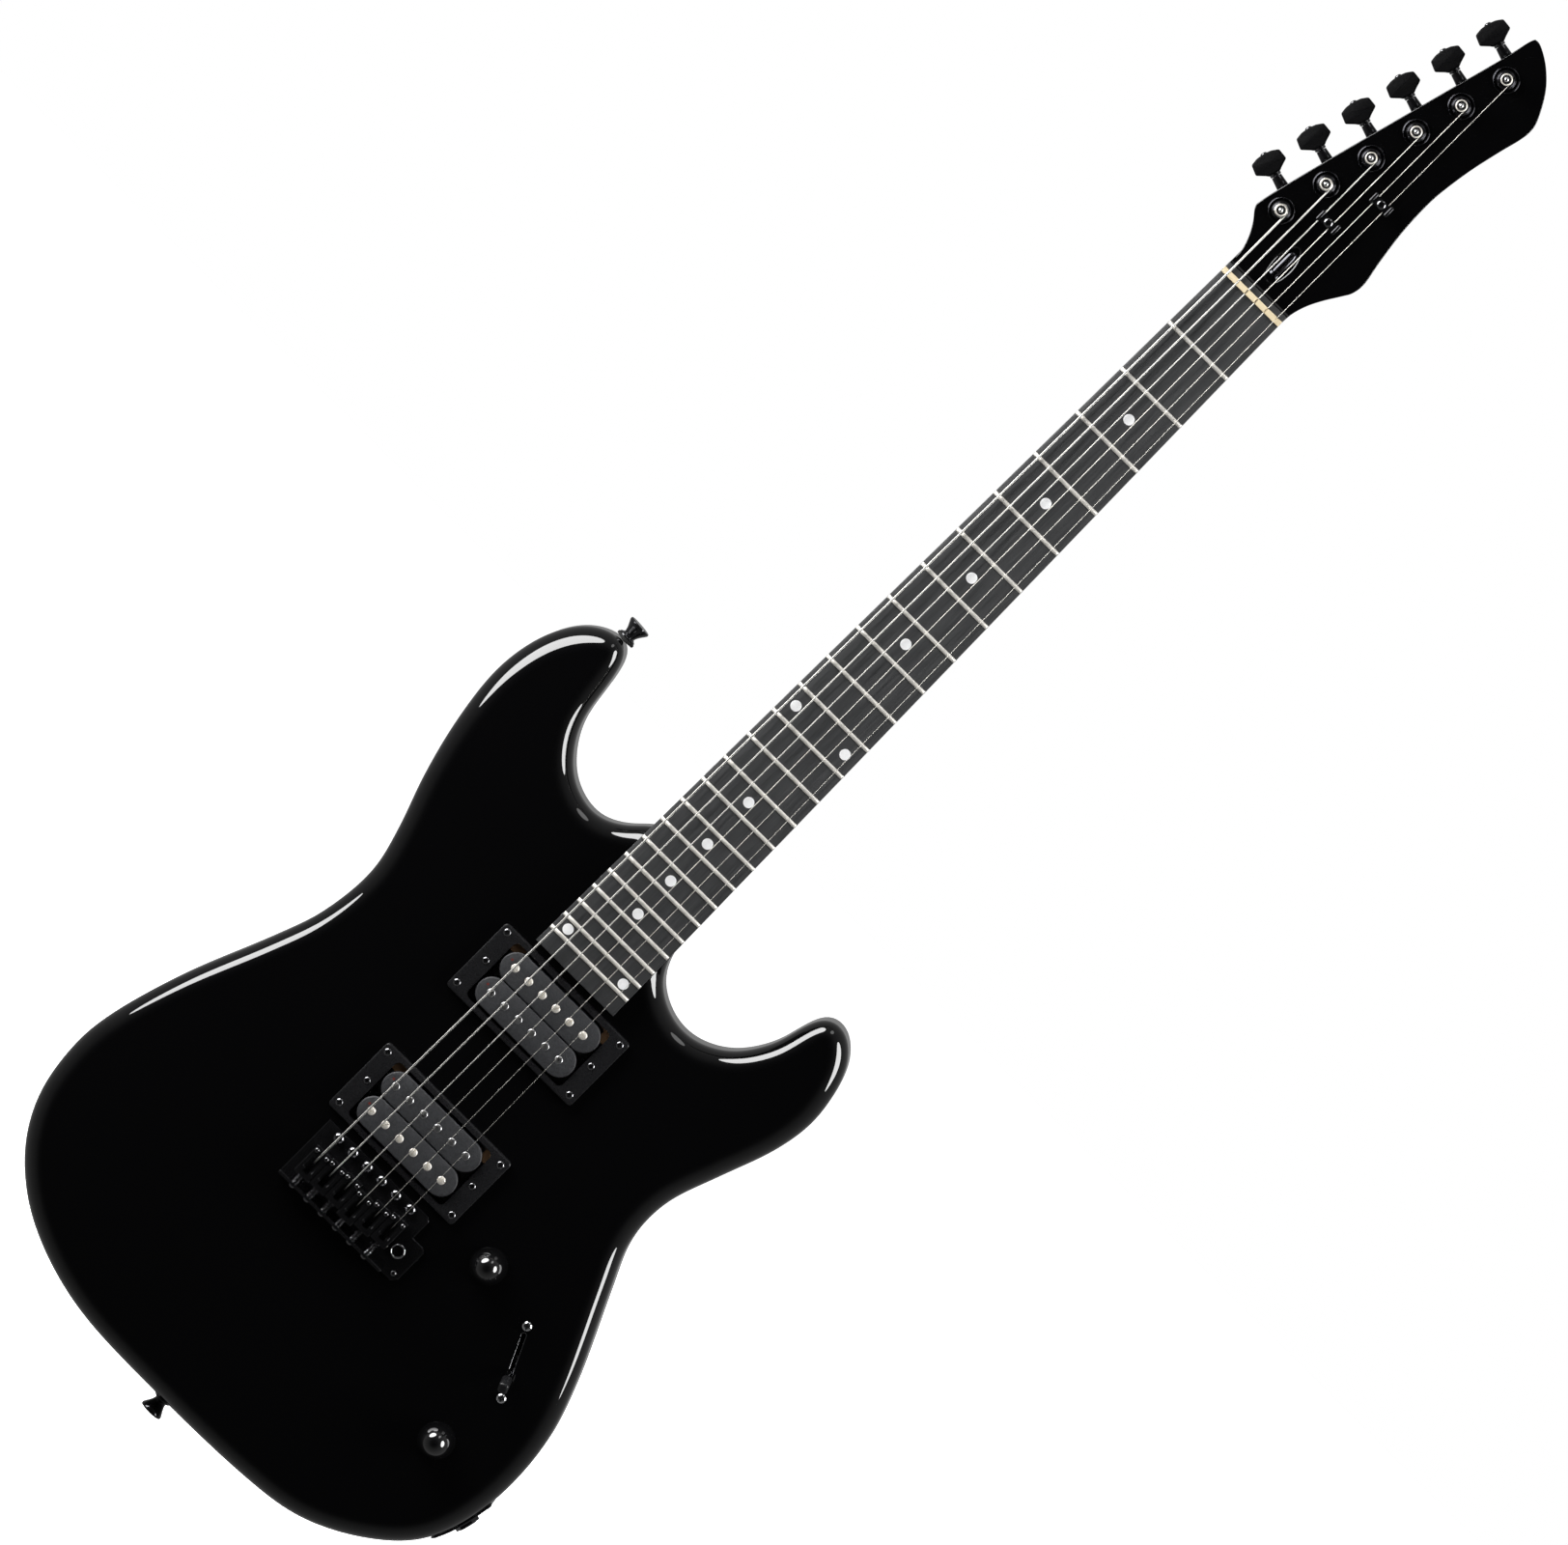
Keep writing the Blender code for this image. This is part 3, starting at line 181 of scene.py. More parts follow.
BOBBIN = material("bobbin_surface", (0.012, 0.012, 0.013), 0.5, other=(0.058, 0.06, 0.065),
    scale=1100, bump=0.7, depth=0.0002, spread=0.1, detail=6)
RED_PAINT = material("red_paint", (0.12, 0.015, 0.01), 0.5, scale=900)
DARK = material("cavity_dark", (0.006, 0.006, 0.006), 0.8, scale=200, bump=0.2)
RUBBER = material("black_felt", (0.01, 0.01, 0.01), 0.85, scale=1500, bump=0.5)


def wound_string():
    """Nickel winding: fine rings around the string, along its length."""
    made = material("wound_string", (0.5, 0.49, 0.46), 0.3, 1.0, other=(0.62, 0.61, 0.58),
        scale=1500)
    nodes, links = made.node_tree.nodes, made.node_tree.links
    wave = nodes.new("ShaderNodeTexWave")
    wave.bands_direction = "Z"
    wave.inputs["Scale"].default_value = 0.314 / (0.55 * MM)
    links.new(nodes["Texture Coordinate"].outputs["Object"], wave.inputs["Vector"])
    links.new(wave.outputs["Fac"], nodes["Bump"].inputs["Height"])
    nodes["Bump"].inputs["Strength"].default_value = 0.35
    return made


WOUND_STRING = wound_string()


# ---- tools


def add(name, data):
    obj = bpy.data.objects.new(name, data)
    bpy.context.scene.collection.objects.link(obj)
    return obj


def aimed(place, axis):
    """Carries a shape's origin to a place and its Z onto an axis."""
    turn = Vector(axis).to_track_quat("Z", "Y").to_matrix().to_4x4()
    return Matrix.Translation(Vector(place)) @ turn


def bevel(bm, edges, offset, segments):
    bmesh.ops.bevel(bm, geom=edges, offset=offset, segments=segments, profile=0.5, affect="EDGES")


def skin(bm, rings, closed=False):
    """Faces between rings of points; the end rings are filled, or joined where it is closed."""
    for ring, following in zip(rings, rings[1:] + rings[:closed]):
        for i in range(len(ring)):
            bm.faces.new((ring[i - 1], ring[i], following[i], following[i - 1]))
    if not closed:
        bm.faces.new(rings[0])
        bm.faces.new(rings[-1])
    bmesh.ops.recalc_face_normals(bm, faces=bm.faces)
    return bm


def block(low, high, rounding=0.0, segments=2):
    low, high = Vector(low), Vector(high)
    bm = bmesh.new()
    size = Matrix.Diagonal((*(high - low), 1))
    bmesh.ops.create_cube(bm, size=1, matrix=Matrix.Translation((low + high) / 2) @ size)
    if rounding:
        bevel(bm, bm.edges[:], rounding, segments)
    return bm


def lathe(profile, steps=32, place=(0, 0, 0), axis=(0, 0, 1), closed=False):
    """A turned shape: (radius, height) pairs, from its top to its bottom."""
    bm = bmesh.new()
    rings = []
    for radius, height in profile:
        if radius < 1e-6:
            rings.append([bm.verts.new((0, 0, height))])
        else:
            rings.append([bm.verts.new((radius * cos(tau * k / steps), radius * sin(tau * k / steps),
                height)) for k in range(steps)])
    for upper, lower in zip(rings, rings[1:] + rings[:closed]):
        for k in range(steps):
            a, b = k, (k + 1) % steps
            corners = [upper[a % len(upper)], lower[a % len(lower)], lower[b % len(lower)],
                upper[b % len(upper)]]
            corners = list(dict.fromkeys(corners))
            if len(corners) > 2:
                bm.faces.new(corners)
    if not closed:
        for ring in (rings[0], rings[-1]):
            if len(ring) > 1:
                bm.faces.new(ring)
    bmesh.ops.recalc_face_normals(bm, faces=bm.faces)
    return moved(bm, aimed(place, axis))


def bar(start, end, radius, steps=20):
    along = Vector(end) - Vector(start)
    rim = [(0, along.length), (radius, along.length), (radius, 0), (0, 0)]
    return lathe(rim, steps, start, along)


def pillar(x, y, low, high, radius, steps=20):
    return bar((x, y, low), (x, y, high), radius, steps)


def prism(outline, low, high, rounding=0.0, segments=3, back_rounding=0.0):
    bm = bmesh.new()
    bottom = [bm.verts.new((p[0], p[1], low)) for p in outline]
    top = [bm.verts.new((p[0], p[1], high)) for p in outline]
    bm.faces.new(bottom)
    bm.faces.new(top)
    for i in range(len(outline)):
        bm.faces.new((bottom[i - 1], bottom[i], top[i], top[i - 1]))
    bmesh.ops.recalc_face_normals(bm, faces=bm.faces)
    for ring, size in ((top, rounding), (bottom, back_rounding)):
        if size:
            ids = set(ring)
            edges = [e for e in bm.edges if e.verts[0] in ids and e.verts[1] in ids]
            bevel(bm, edges, size, segments)
    return bm


def tube(points, radius, sides):
    """A round tube along points."""
    points = [Vector(p) for p in points]
    bm = bmesh.new()
    rings, normal = [], None
    for i, point in enumerate(points):
        ahead = points[min(i + 1, len(points) - 1)] - points[max(i - 1, 0)]
        ahead.normalize()
        if normal is None:
            normal = ahead.orthogonal().normalized()
        normal = (normal - ahead * normal.dot(ahead)).normalized()
        side = ahead.cross(normal)
        rings.append([bm.verts.new(point + radius
            * (normal * cos(tau * k / sides) + side * sin(tau * k / sides))) for k in range(sides)])
    return skin(bm, rings)


def coil(start, end, radius, turns, wire, per_turn=12, sides=6):
    start, end = Vector(start), Vector(end)
    turn = (end - start).to_track_quat("Z", "Y")
    length = (end - start).length
    count = int(turns * per_turn)
    points = []
    for k in range(count + 1):
        angle = tau * k / per_turn
        points.append(start + turn @ Vector((radius * cos(angle), radius * sin(angle), length * k / count)))
    return tube(points, wire, sides)


def joined(*shapes):
    whole = shapes[0]
    for shape in shapes[1:]:
        spare = bpy.data.meshes.new("spare")
        shape.to_mesh(spare)
        shape.free()
        whole.from_mesh(spare)
        bpy.data.meshes.remove(spare)
    return whole


def moved(shape, matrix):
    shape.transform(matrix)
    return shape


def shifted(shape, x, y, z=0.0):
    shape.transform(Matrix.Translation((x, y, z)))
    return shape


def cut(shape, *cutters):
    """Booleans, worked out at once on the bench."""
    made = []
    for bm in (shape, *cutters):
        bmesh.ops.recalc_face_normals(bm, faces=bm.faces)
        mesh = bpy.data.meshes.new("work")
        bm.to_mesh(mesh)
        bm.free()
        made.append(add("work", mesh))
    for cutter in made[1:]:
        modifier = made[0].modifiers.new("cut", "BOOLEAN")
        modifier.operation = "DIFFERENCE"
        modifier.solver = "EXACT"
        modifier.object = cutter
    bpy.context.view_layer.update()
    graph = bpy.context.evaluated_depsgraph_get()
    evaluated = made[0].evaluated_get(graph)
    result = bmesh.new()
    result.from_mesh(evaluated.to_mesh())
    evaluated.to_mesh_clear()
    for obj in made:
        mesh = obj.data
        bpy.data.objects.remove(obj)
        bpy.data.meshes.remove(mesh)
    return result


def piece(name, shape, look, body="root", replaces=(), angle=32, weighted=False):
    """Stands a shape up in the frame as a piece that rides on a body."""
    shape.transform(BENCH)
    mesh = bpy.data.meshes.new(name)
    shape.to_mesh(mesh)
    shape.free()
    mesh.materials.append(look)
    mesh.shade_smooth()
    mesh.set_sharp_from_angle(angle=radians(angle))
    obj = add(name, mesh)
    if weighted:
        modifier = obj.modifiers.new("normals", "WEIGHTED_NORMAL")
        modifier.keep_sharp = True
        modifier.weight = 80
    if body:
        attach(obj, body)
    if replaces:
        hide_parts(*replaces)
    return obj


def repaint(name, look):
    """A finish for a solid that is kept as it is."""
    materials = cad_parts[name].data.materials
    materials.clear()
    materials.append(look)


def smooth(points, per_span=8):
    """A closed curve through the points."""
    found, count = [], len(points)
    for i in range(count):
        before, start, end, after = (Vector(points[(i + k) % count]) for k in (-1, 0, 1, 2))
        for step in range(per_span):
            t = step / per_span
            leave, arrive = (end - before) / 2, (after - start) / 2
            found.append((2 * t**3 - 3 * t**2 + 1) * start + (t**3 - 2 * t**2 + t) * leave
                + (3 * t**2 - 2 * t**3) * end + (t**3 - t**2) * arrive)
    return found


def evened(points, spacing):
    """The closed curve again, with its points at even distances."""
    lengths = [0.0]
    for i in range(len(points)):
        lengths.append(lengths[-1] + (points[(i + 1) % len(points)] - points[i]).length)
    count = round(lengths[-1] / spacing)
    found, i = [], 0
    for k in range(count):
        want = lengths[-1] * k / count
        while lengths[i + 1] < want:
            i += 1
        share = (want - lengths[i]) / (lengths[i + 1] - lengths[i])
        found.append(points[i].lerp(points[(i + 1) % len(points)], share))
    return found


def relaxed(values, rounds):
    """Neighbours averaged, round and round a closed list."""
    for _ in range(rounds):
        values = [(values[i - 1] + 2 * values[i] + values[(i + 1) % len(values)]) / 4
            for i in range(len(values))]
    return values


def outward(points, reach=1):
    """Unit normals that point out of a closed curve."""
    count = len(points)
    area = sum(points[i - 1].x * points[i].y - points[i].x * points[i - 1].y for i in range(count))
    sign = 1 if area > 0 else -1
    found = []
    for i in range(count):
        along = (points[(i + reach) % count] - points[i - reach]).normalized()
        found.append(sign * Vector((along.y, -along.x)))
    return found


def grown(points, distance):
    return [p + distance * n for p, n in zip(points, outward(points))]


def half_width(y):
    share = (NUT_FRONT - y) / (NUT_FRONT - BOARD_END)
    return NUT_HALF + max(0.0, share) * (END_HALF - NUT_HALF)


def crown(x):
    """How far the fingerboard falls away from its middle line at x."""
    return x * x / (2 * BOARD_RADIUS)


def fret_y(number):
    return -SCALE_LENGTH * (1 - 2 ** (-number / 12))


def post_place(index):
    return FIRST_POST.lerp(LAST_POST, index / 5)


def saddle_x(index):
    return -2 + (index - 2.5) * 10.55


def nut_x(index):
    return (index - 2.5) * 6.9


def cross_head(radius, height):
    """A round-topped screw head with a cross recess, its seat at height 0."""
    head = lathe([(radius * sin(pi * k / 18), height * cos(pi * k / 18)) for k in range(9)]
        + [(radius, 0.05), (radius, -0.3), (0, -0.3)], 24)
    arm, width, floor = radius * 0.62, radius * 0.14, height - 0.45 * radius
    return cut(head, block((-arm, -width, floor), (arm, width, height + 1)),
        block((-width, -arm, floor), (width, arm, height + 1)))


def slot_head(radius, height):
    head = lathe([(radius * sin(pi * k / 14), height - 0.8 + 0.8 * cos(pi * k / 14)) for k in range(7)]
        + [(radius, height - 0.8), (radius, -0.4), (0, -0.4)], 20)
    return cut(head, block((-radius - 1, -0.28, height - 0.55), (radius + 1, 0.28, height + 1)))


def lip(outline, high, size):
    """The rounded edge of an opening: outline is the opening, size the rounding."""
    rings = []
    bm = bmesh.new()
    for k in range(6):
        angle = pi / 2 * k / 5
        edge = grown(outline, size * (1 - cos(angle)))
        rings.append([bm.verts.new((p.x, p.y, high - size * (1 - sin(angle)))) for p in edge])
    rings.append([bm.verts.new((p.x, p.y, high - size)) for p in grown(outline, size)])
    return skin(bm, rings, True)


# ---- body


def body_line():
    """The outline with even points, its normals, and the edge rounding that fits at each point."""
    line = relaxed(evened(smooth(BODY_OUTLINE), 2.4), 8)
    normals = outward(line, 2)
    room = []
    for i, point in enumerate(line):
        ahead = line[(i + 3) % len(line)] - line[i - 3]
        turn = (normals[(i + 3) % len(line)] - normals[i - 3]).dot(ahead.normalized())
        radius = ahead.length / turn if turn > 0.005 else 1000
        horn = max(0.0, min(1.0, (point.y + 470) / 60)) * (point.x < -100)
        room.append(min(11.5 + 2.5 * horn, 0.8 * radius))
    for _ in range(3):
        room = [min(room[i - 1], room[i], room[(i + 1) % len(room)]) for i in range(len(room))]
    return line, normals, relaxed(room, 20)


def make_body():
    line, normals, room = body_line()
    bm = bmesh.new()
    rings = []
    steps = 8
    for side, level in ((-1, BODY_BACK), (1, BODY_FRONT)):
        order = range(steps, -1, -1) if side < 0 else range(steps + 1)
        for k in order:
            angle = pi / 2 * k / steps
            ring = []
            for point, normal, size in zip(line, normals, room):
                flat = point - normal * size * (1 - cos(angle))
                ring.append(bm.verts.new((flat.x, flat.y, level - side * size * (1 - sin(angle)))))
            rings.append(ring)
    skin(bm, rings)
    deep, mouth = -490.3, -400.0
    pocket = [(side * (half_width(y) + 0.15), y)
        for side, y in ((-1, deep), (1, deep), (1, mouth), (-1, mouth))]
    cutters = [prism(pocket, HEEL_BACK - 0.1, 30)]
    for middle in (NECK_PICKUP_Y, BRIDGE_PICKUP_Y):
        cutters += [block((-36, middle - 20, -9), (36, middle + 20, 30)),
            block((-42.6, middle - 6, -9.1), (42.6, middle + 6, 30))]
    cutters += [prism(BLOCK_SLOT, -50, 30), block((-36, -650, -50), (32, -548, BODY_BACK + 16)),
        prism(smooth(CONTROL_CAVITY, 3), -50, BODY_FRONT - 5.5)]
    for place in (VOLUME_PLACE, TONE_PLACE):
        cutters.append(pillar(place.x, place.y, 0, 20, 5, 24))
    cutters.append(moved(block((-16.5, -1.3, 0), (16.5, 1.3, 20), 0.4), switch_place()))
    cutters.append(bar(JACK_PLACE + JACK_AXIS * 10, JACK_PLACE - JACK_AXIS * 26, 9, 28))
    piece("body_shell", cut(bm, *cutters), LACQUER, replaces=["body"], weighted=True)
    for name, middle in (("neck", NECK_PICKUP_Y), ("bridge", BRIDGE_PICKUP_Y)):
        wood = joined(block((-35.8, middle + 13.5, -8.9), (-27.5, middle + 19.8, 10)),
            block((30.5, middle + 12, -8.9), (35.8, middle + 19.8, 10)))
        piece(f"{name}_cavity_wood", wood, RAW_WOOD)


# ---- neck


def neck_ring(bm, y, half, top, bottom, squareness):
    ring = []
    for step in range(33):
        angle = pi * step / 32
        across = copysign(abs(cos(angle)) ** (2 / squareness), cos(angle))
        depth = sin(angle) ** (2 / squareness)
        ring.append(bm.verts.new((-half * across, y, top - (top - bottom) * depth)))
    return ring


def make_neck():
    top = BOARD_BOTTOM - 0.05
    stations = [(-490, top, HEEL_BACK, 12), (-422, top, HEEL_BACK, 12), (-414, top, -4.2, 7),
        (-405, top, -2.6, 3), (-380, top, -1.9, 2.4), (-324, top, -1.5, 2.3), (-170, top, -0.8, 2.3),
        (-10, top, 0, 2.3), (4, top, -0.2, 2.4), (8, top, -0.4, 2.5), (8.6, 11.4, -0.6, 2.6),
        (9.4, 10.1, -0.8, 2.7), (13.5, 9.8, -1.8, 3.2), (20, 9.7, -2.6, 4), (30, 9.5, -3.6, 7)]
    bm = bmesh.new()
    rings = [neck_ring(bm, y, half_width(y), high, low, square) for y, high, low, square in stations]
    shaft = skin(bm, rings)
    mouth = relaxed(evened(smooth(ROD_MOUTH, 4), 0.6), 4)
    shaft = cut(shaft, prism(mouth, 1.5, 30))
    piece("neck_wood", shaft, LACQUER, replaces=["neck"], angle=40)
    line = smooth(HEAD_OUTLINE, 8)[8:-15]
    head = prism(line, HEAD_BACK, HEAD_FRONT, 0.5, 3, 1.4)
    head = cut(head, prism(mouth, 1.5, HEAD_FRONT - 1.4), prism(grown(mouth, 1.7), HEAD_FRONT - 1.7, 30))
    piece("headstock", head, LACQUER, angle=40, weighted=True)
    piece("rod_mouth_rim", lip(mouth, HEAD_FRONT, 1.7), LACQUER, angle=50)
    piece("rod_mouth_wood", block((-4.6, 15.4, 2.2), (4.6, 18.2, 8.2), 0.6), RAW_WOOD)
    nut = cut(joined(lathe([(0, 14.5), (2.5, 14.4), (3.1, 13.6), (3.3, 12), (3.3, 1), (3.0, 0), (0, 0)], 28,
        (0, 20, 6.4), (0, 1, 0))), bar((0, 29, 6.4), (0, 40, 6.4), 1.9, 6))
    piece("rod_adjuster", nut, SMOKED_CHROME, replaces=["truss_rod"])
    piece("rod_washer", lathe([(3.9, 1.4), (3.9, 0), (2, 0), (2, 1.4)], 28, (0, 18.4, 6.4), (0, 1, 0),
        closed=True), SMOKED_CHROME)


def board_ring(bm, y, top, bottom):
    half = half_width(y)
    ring = [bm.verts.new((-half, y, bottom)), bm.verts.new((half, y, bottom))]
    for x, drop in ((half, 0.7), (half - 0.25, 0.2), (half - 0.8, 0)):
        ring.append(bm.verts.new((x, y, top - crown(x) - drop)))
    for step in range(1, 12):
        x = (half - 0.8) * (1 - step / 6)
        ring.append(bm.verts.new((x, y, top - crown(x))))
    for x, drop in ((half - 0.8, 0), (half - 0.25, 0.2), (half, 0.7)):
        ring.append(bm.verts.new((-x, y, top - crown(x) - drop)))
    return ring


def make_fretboard():
    bm = bmesh.new()
    rings = [board_ring(bm, y, BOARD_TOP - drop, BOARD_BOTTOM)
        for y, drop in ((NUT_FRONT, 0), (-120, 0), (-250, 0), (-380, 0), (BOARD_END + 0.6, 0),
        (BOARD_END + 0.15, 0.15), (BOARD_END, 0.6))]
    piece("fingerboard", skin(bm, rings), BOARD, replaces=["fretboard"])
    bm = bmesh.new()
    rings = [board_ring(bm, y, BOARD_TOP - drop, BOARD_BOTTOM)
        for y, drop in ((NUT_BACK, 0), (7.6, 0), (8, 0.5))]
    piece("fingerboard_end", skin(bm, rings), BOARD)
    frets = []
    for number in range(1, 25):
        y = fret_y(number)
        half = half_width(y) - 0.1
        bm = bmesh.new()
        rings = []
        for x, tall in ((-half, 0.25), (-half + 0.9, 0.95), (-half * 0.6, 1), (-half * 0.25, 1),
                (half * 0.25, 1), (half * 0.6, 1), (half - 0.9, 0.95), (half, 0.25)):
            rings.append([bm.verts.new((x, y + 1.15 * cos(pi * k / 8),
                BOARD_TOP - crown(x) - 0.05 + 1.1 * tall * sin(pi * k / 8) ** 0.8)) for k in range(9)])
        frets.append(skin(bm, rings))
    piece("frets", joined(*frets), FRET_METAL, angle=50)
    dots, edge_dots = [], []
    for number in (3, 5, 7, 9, 12, 15, 17, 19, 21, 24):
        y = (fret_y(number) + fret_y(number - 1)) / 2
        apart = {12: 18.0, 24: 20.3}.get(number, 0)
        for x in ((-apart, apart) if apart else (0,)):
            tilt = Matrix.Rotation(x / BOARD_RADIUS, 4, "Y")
            dots.append(moved(lathe([(0, 0.05), (2.9, 0.05), (3, -0.05), (3, -1), (0, -1)], 36),
                Matrix.Translation((x, y, BOARD_TOP - crown(x) + 0.01)) @ tilt))
            offset = 3 if apart else 0
            side_y = y + copysign(offset, x)
            edge_dots.append(bar((-half_width(y) + 0.5, side_y, 17.4), (-half_width(y) - 0.05, side_y, 17.4),
                1.0, 18))
    piece("position_dots", joined(*dots), MARKER)
    piece("edge_dots", joined(*edge_dots), MARKER)


def make_nut():
    bm = bmesh.new()
    rings = []
    for y, drop in ((NUT_FRONT, 0.35), (NUT_FRONT + 0.35, 0), (NUT_BACK - 0.6, -0.05), (NUT_BACK, 0.5)):
        ring = [bm.verts.new((-NUT_HALF, y, 14.9)), bm.verts.new((NUT_HALF, y, 14.9))]
        for step in range(13):
            x = NUT_HALF * (1 - step / 6)
            ring.append(bm.verts.new((x, y, 22.5 - drop - crown(x) * 0.9 - (0.5 if step in (0, 12) else 0))))
        rings.append(ring)
    nut = skin(bm, rings)
    grooves = []
    for index, radius in enumerate(STRING_RADII):
        x, width = nut_x(index), radius + 0.12
        grooves.append(bar((x, -3, NUT_STRING_HEIGHT), (x, 9, NUT_STRING_HEIGHT), width, 14))
        grooves.append(block((x - width, -3, NUT_STRING_HEIGHT), (x + width, 9, 26)))
    piece("string_nut", cut(nut, *grooves), BONE, replaces=["nut"], angle=40)


# ---- tuners and trees


def at_tuner(shape, index, along=0.0, height=0.0):
    turn = Matrix.Rotation(-TUNER_TILT, 4, "Z")
    place = post_place(index) + turn @ Vector((0, along, height))
    return moved(shape, Matrix.Translation(place) @ turn)


def make_tuner(index):
    n = index + 1
    top = HEAD_BACK - 0.3
    case = joined(block((-10, -7.5, top - 11), (8.5, 10.5, top), 1.6, 3),
        block((-6.5, -4.5, top - 11.8), (5, 8.5, top - 10.5), 0.8),
        block((6, -11.5, top - 2.2), (9, 13.5, top), 0.9),
        lathe([(2.6, 7.6), (2.8, 7.4), (3.4, 0.4), (3.2, 0), (1.7, 0), (1.7, 7.6)], 24,
        (-9.4, WORM_OFFSET, GEAR_HEIGHT), (-1, 0, 0), closed=True))
    piece(f"tuner_case_{n}", at_tuner(case, index), BLACK_METAL, replaces=[f"tuner_housing_{n}"])
    screws = [shifted(moved(cross_head(1.7, 1.0), Matrix.Rotation(pi, 4, "X")), x, y, level)
        for x, y, level in ((7.4, -9.6, top - 2.2), (7.4, 11.6, top - 2.2), (-1, 2, top - 11.8))]
    piece(f"tuner_screws_{n}", at_tuner(joined(*screws), index), SCREW_METAL)
    washer = lathe([(5.2, 10.9), (6.4, 10.9), (6.6, 11.15), (6.85, 11.2), (7.1, 10.95), (7.25, 10.5),
        (7.25, 10.05), (4.2, 10.05), (4.2, 10.9)], 48, closed=True)
    sleeve = lathe([(3.5, 12.7), (4.2, 12.75), (4.45, 13.0), (4.75, 13.05), (5.05, 12.8), (5.2, 12.3),
        (5.25, 10.8), (4.6, 10.8), (4.6, -5), (3.35, -5), (3.35, 12.6)], 48, closed=True)
    piece(f"tuner_washer_{n}", at_tuner(joined(washer, sleeve), index), SMOKED_CHROME, angle=40)
    post = lathe([(0, 26.9), (0.5, 26.8), (0.95, 26.5), (1.3, 26.0), (1.5, 25.3), (1.6, 24.6), (1.9, 24.3),
        (2.2, 24.5), (2.4, 25.1), (2.65, 25.5), (2.9, 25.5), (3.15, 25.1), (3.25, 24.4), (3.2, 21.6),
        (2.75, 20.6), (2.6, 19.6), (2.6, 15.0), (3.0, 14.2), (3.05, 13.4), (3.05, -8), (0, -8)], 40)
    post = cut(post, bar((-5, 0, 17), (5, 0, 17), 0.9, 16))
    gear = lathe([(4.9, 1.6), (4.9, -1.6), (0.5, -1.6), (0.5, 1.6)], 28, (0, 0, GEAR_HEIGHT), closed=True)
    piece(f"tuner_shaft_{n}", at_tuner(joined(post, gear), index), CHROME, f"tuner_post_{n}",
        [f"tuner_post_{n}"], angle=40)
    # Painted highlight: the post's top rim is a ring of pale, rough pole metal, lighter than the chrome
    # post, so that it shows as a full bright ring all round.
    rim = lathe([(2.5, 25.3), (2.6, 25.65), (2.85, 25.8), (3.1, 25.65), (3.2, 25.3), (2.85, 24.9)], 40,
        closed=True)
    piece(f"tuner_rim_painted_highlight_{n}", at_tuner(rim, index), POLE, f"tuner_post_{n}", angle=50)
    size = STRING_RADII[index]
    radius = 2.65 + size
    turns = 3 if index < 4 else 5
    height = 2 * size * turns + 0.3
    winding = coil((0, 0, 16.5 - height / 2), (0, 0, 16.5 + height / 2), radius, turns, size, 24, 8)
    look = WOUND_STRING if index < 3 else PLAIN_STRING
    piece(f"string_winding_{n}", at_tuner(winding, index), look, f"tuner_post_{n}")
    outline = relaxed(evened([Vector(p) for p in BUTTON_OUTLINE], 0.5), 2)
    button = prism(outline, -3.6, 3.6, 1.3, 3, 1.3)
    piece(f"tuner_button_{n}", at_tuner(button, index, WORM_OFFSET, GEAR_HEIGHT), BUTTON_PLASTIC,
        f"tuner_key_{n}", [f"tuner_key_{n}"], angle=28)
    stem = lathe([(0, 19), (2.7, 19), (3.1, 18.7), (3.1, 17.5), (2.8, 17.2), (1.45, 17.1), (1.45, -4.5),
        (0, -4.5)], 28, (0, 0, 0), (-1, 0, 0))
    screw = shifted(moved(cross_head(1.9, 0.9), Matrix.Rotation(-pi / 2, 4, "Y")), -30.2, 0)
    piece(f"tuner_stem_{n}", at_tuner(joined(stem, screw), index, WORM_OFFSET, GEAR_HEIGHT), SCREW_METAL,
        f"tuner_key_{n}", angle=40)


def make_tree(number, x, y):
    plate = joined(block((-6.2, -2.4, 16.6), (6.2, 2.4, 17.7), 0.4, 2),
        block((-6.4, -3.2, 16.3), (-4.4, 3.2, 18.5), 0.7, 3),
        block((4.4, -3.2, 16.3), (6.4, 3.2, 18.5), 0.7, 3))
    piece(f"tree_plate_{number}", shifted(plate, x, y), BLACK_METAL, replaces=[f"string_tree_{number}"])
    piece(f"tree_collar_{number}", shifted(pillar(0, 0, 10.05, 16.7, 2.2, 24), x, y), BLACK_METAL)
    piece(f"tree_screw_{number}", shifted(cross_head(2.5, 1.2), x, y, 17.6), SCREW_METAL)


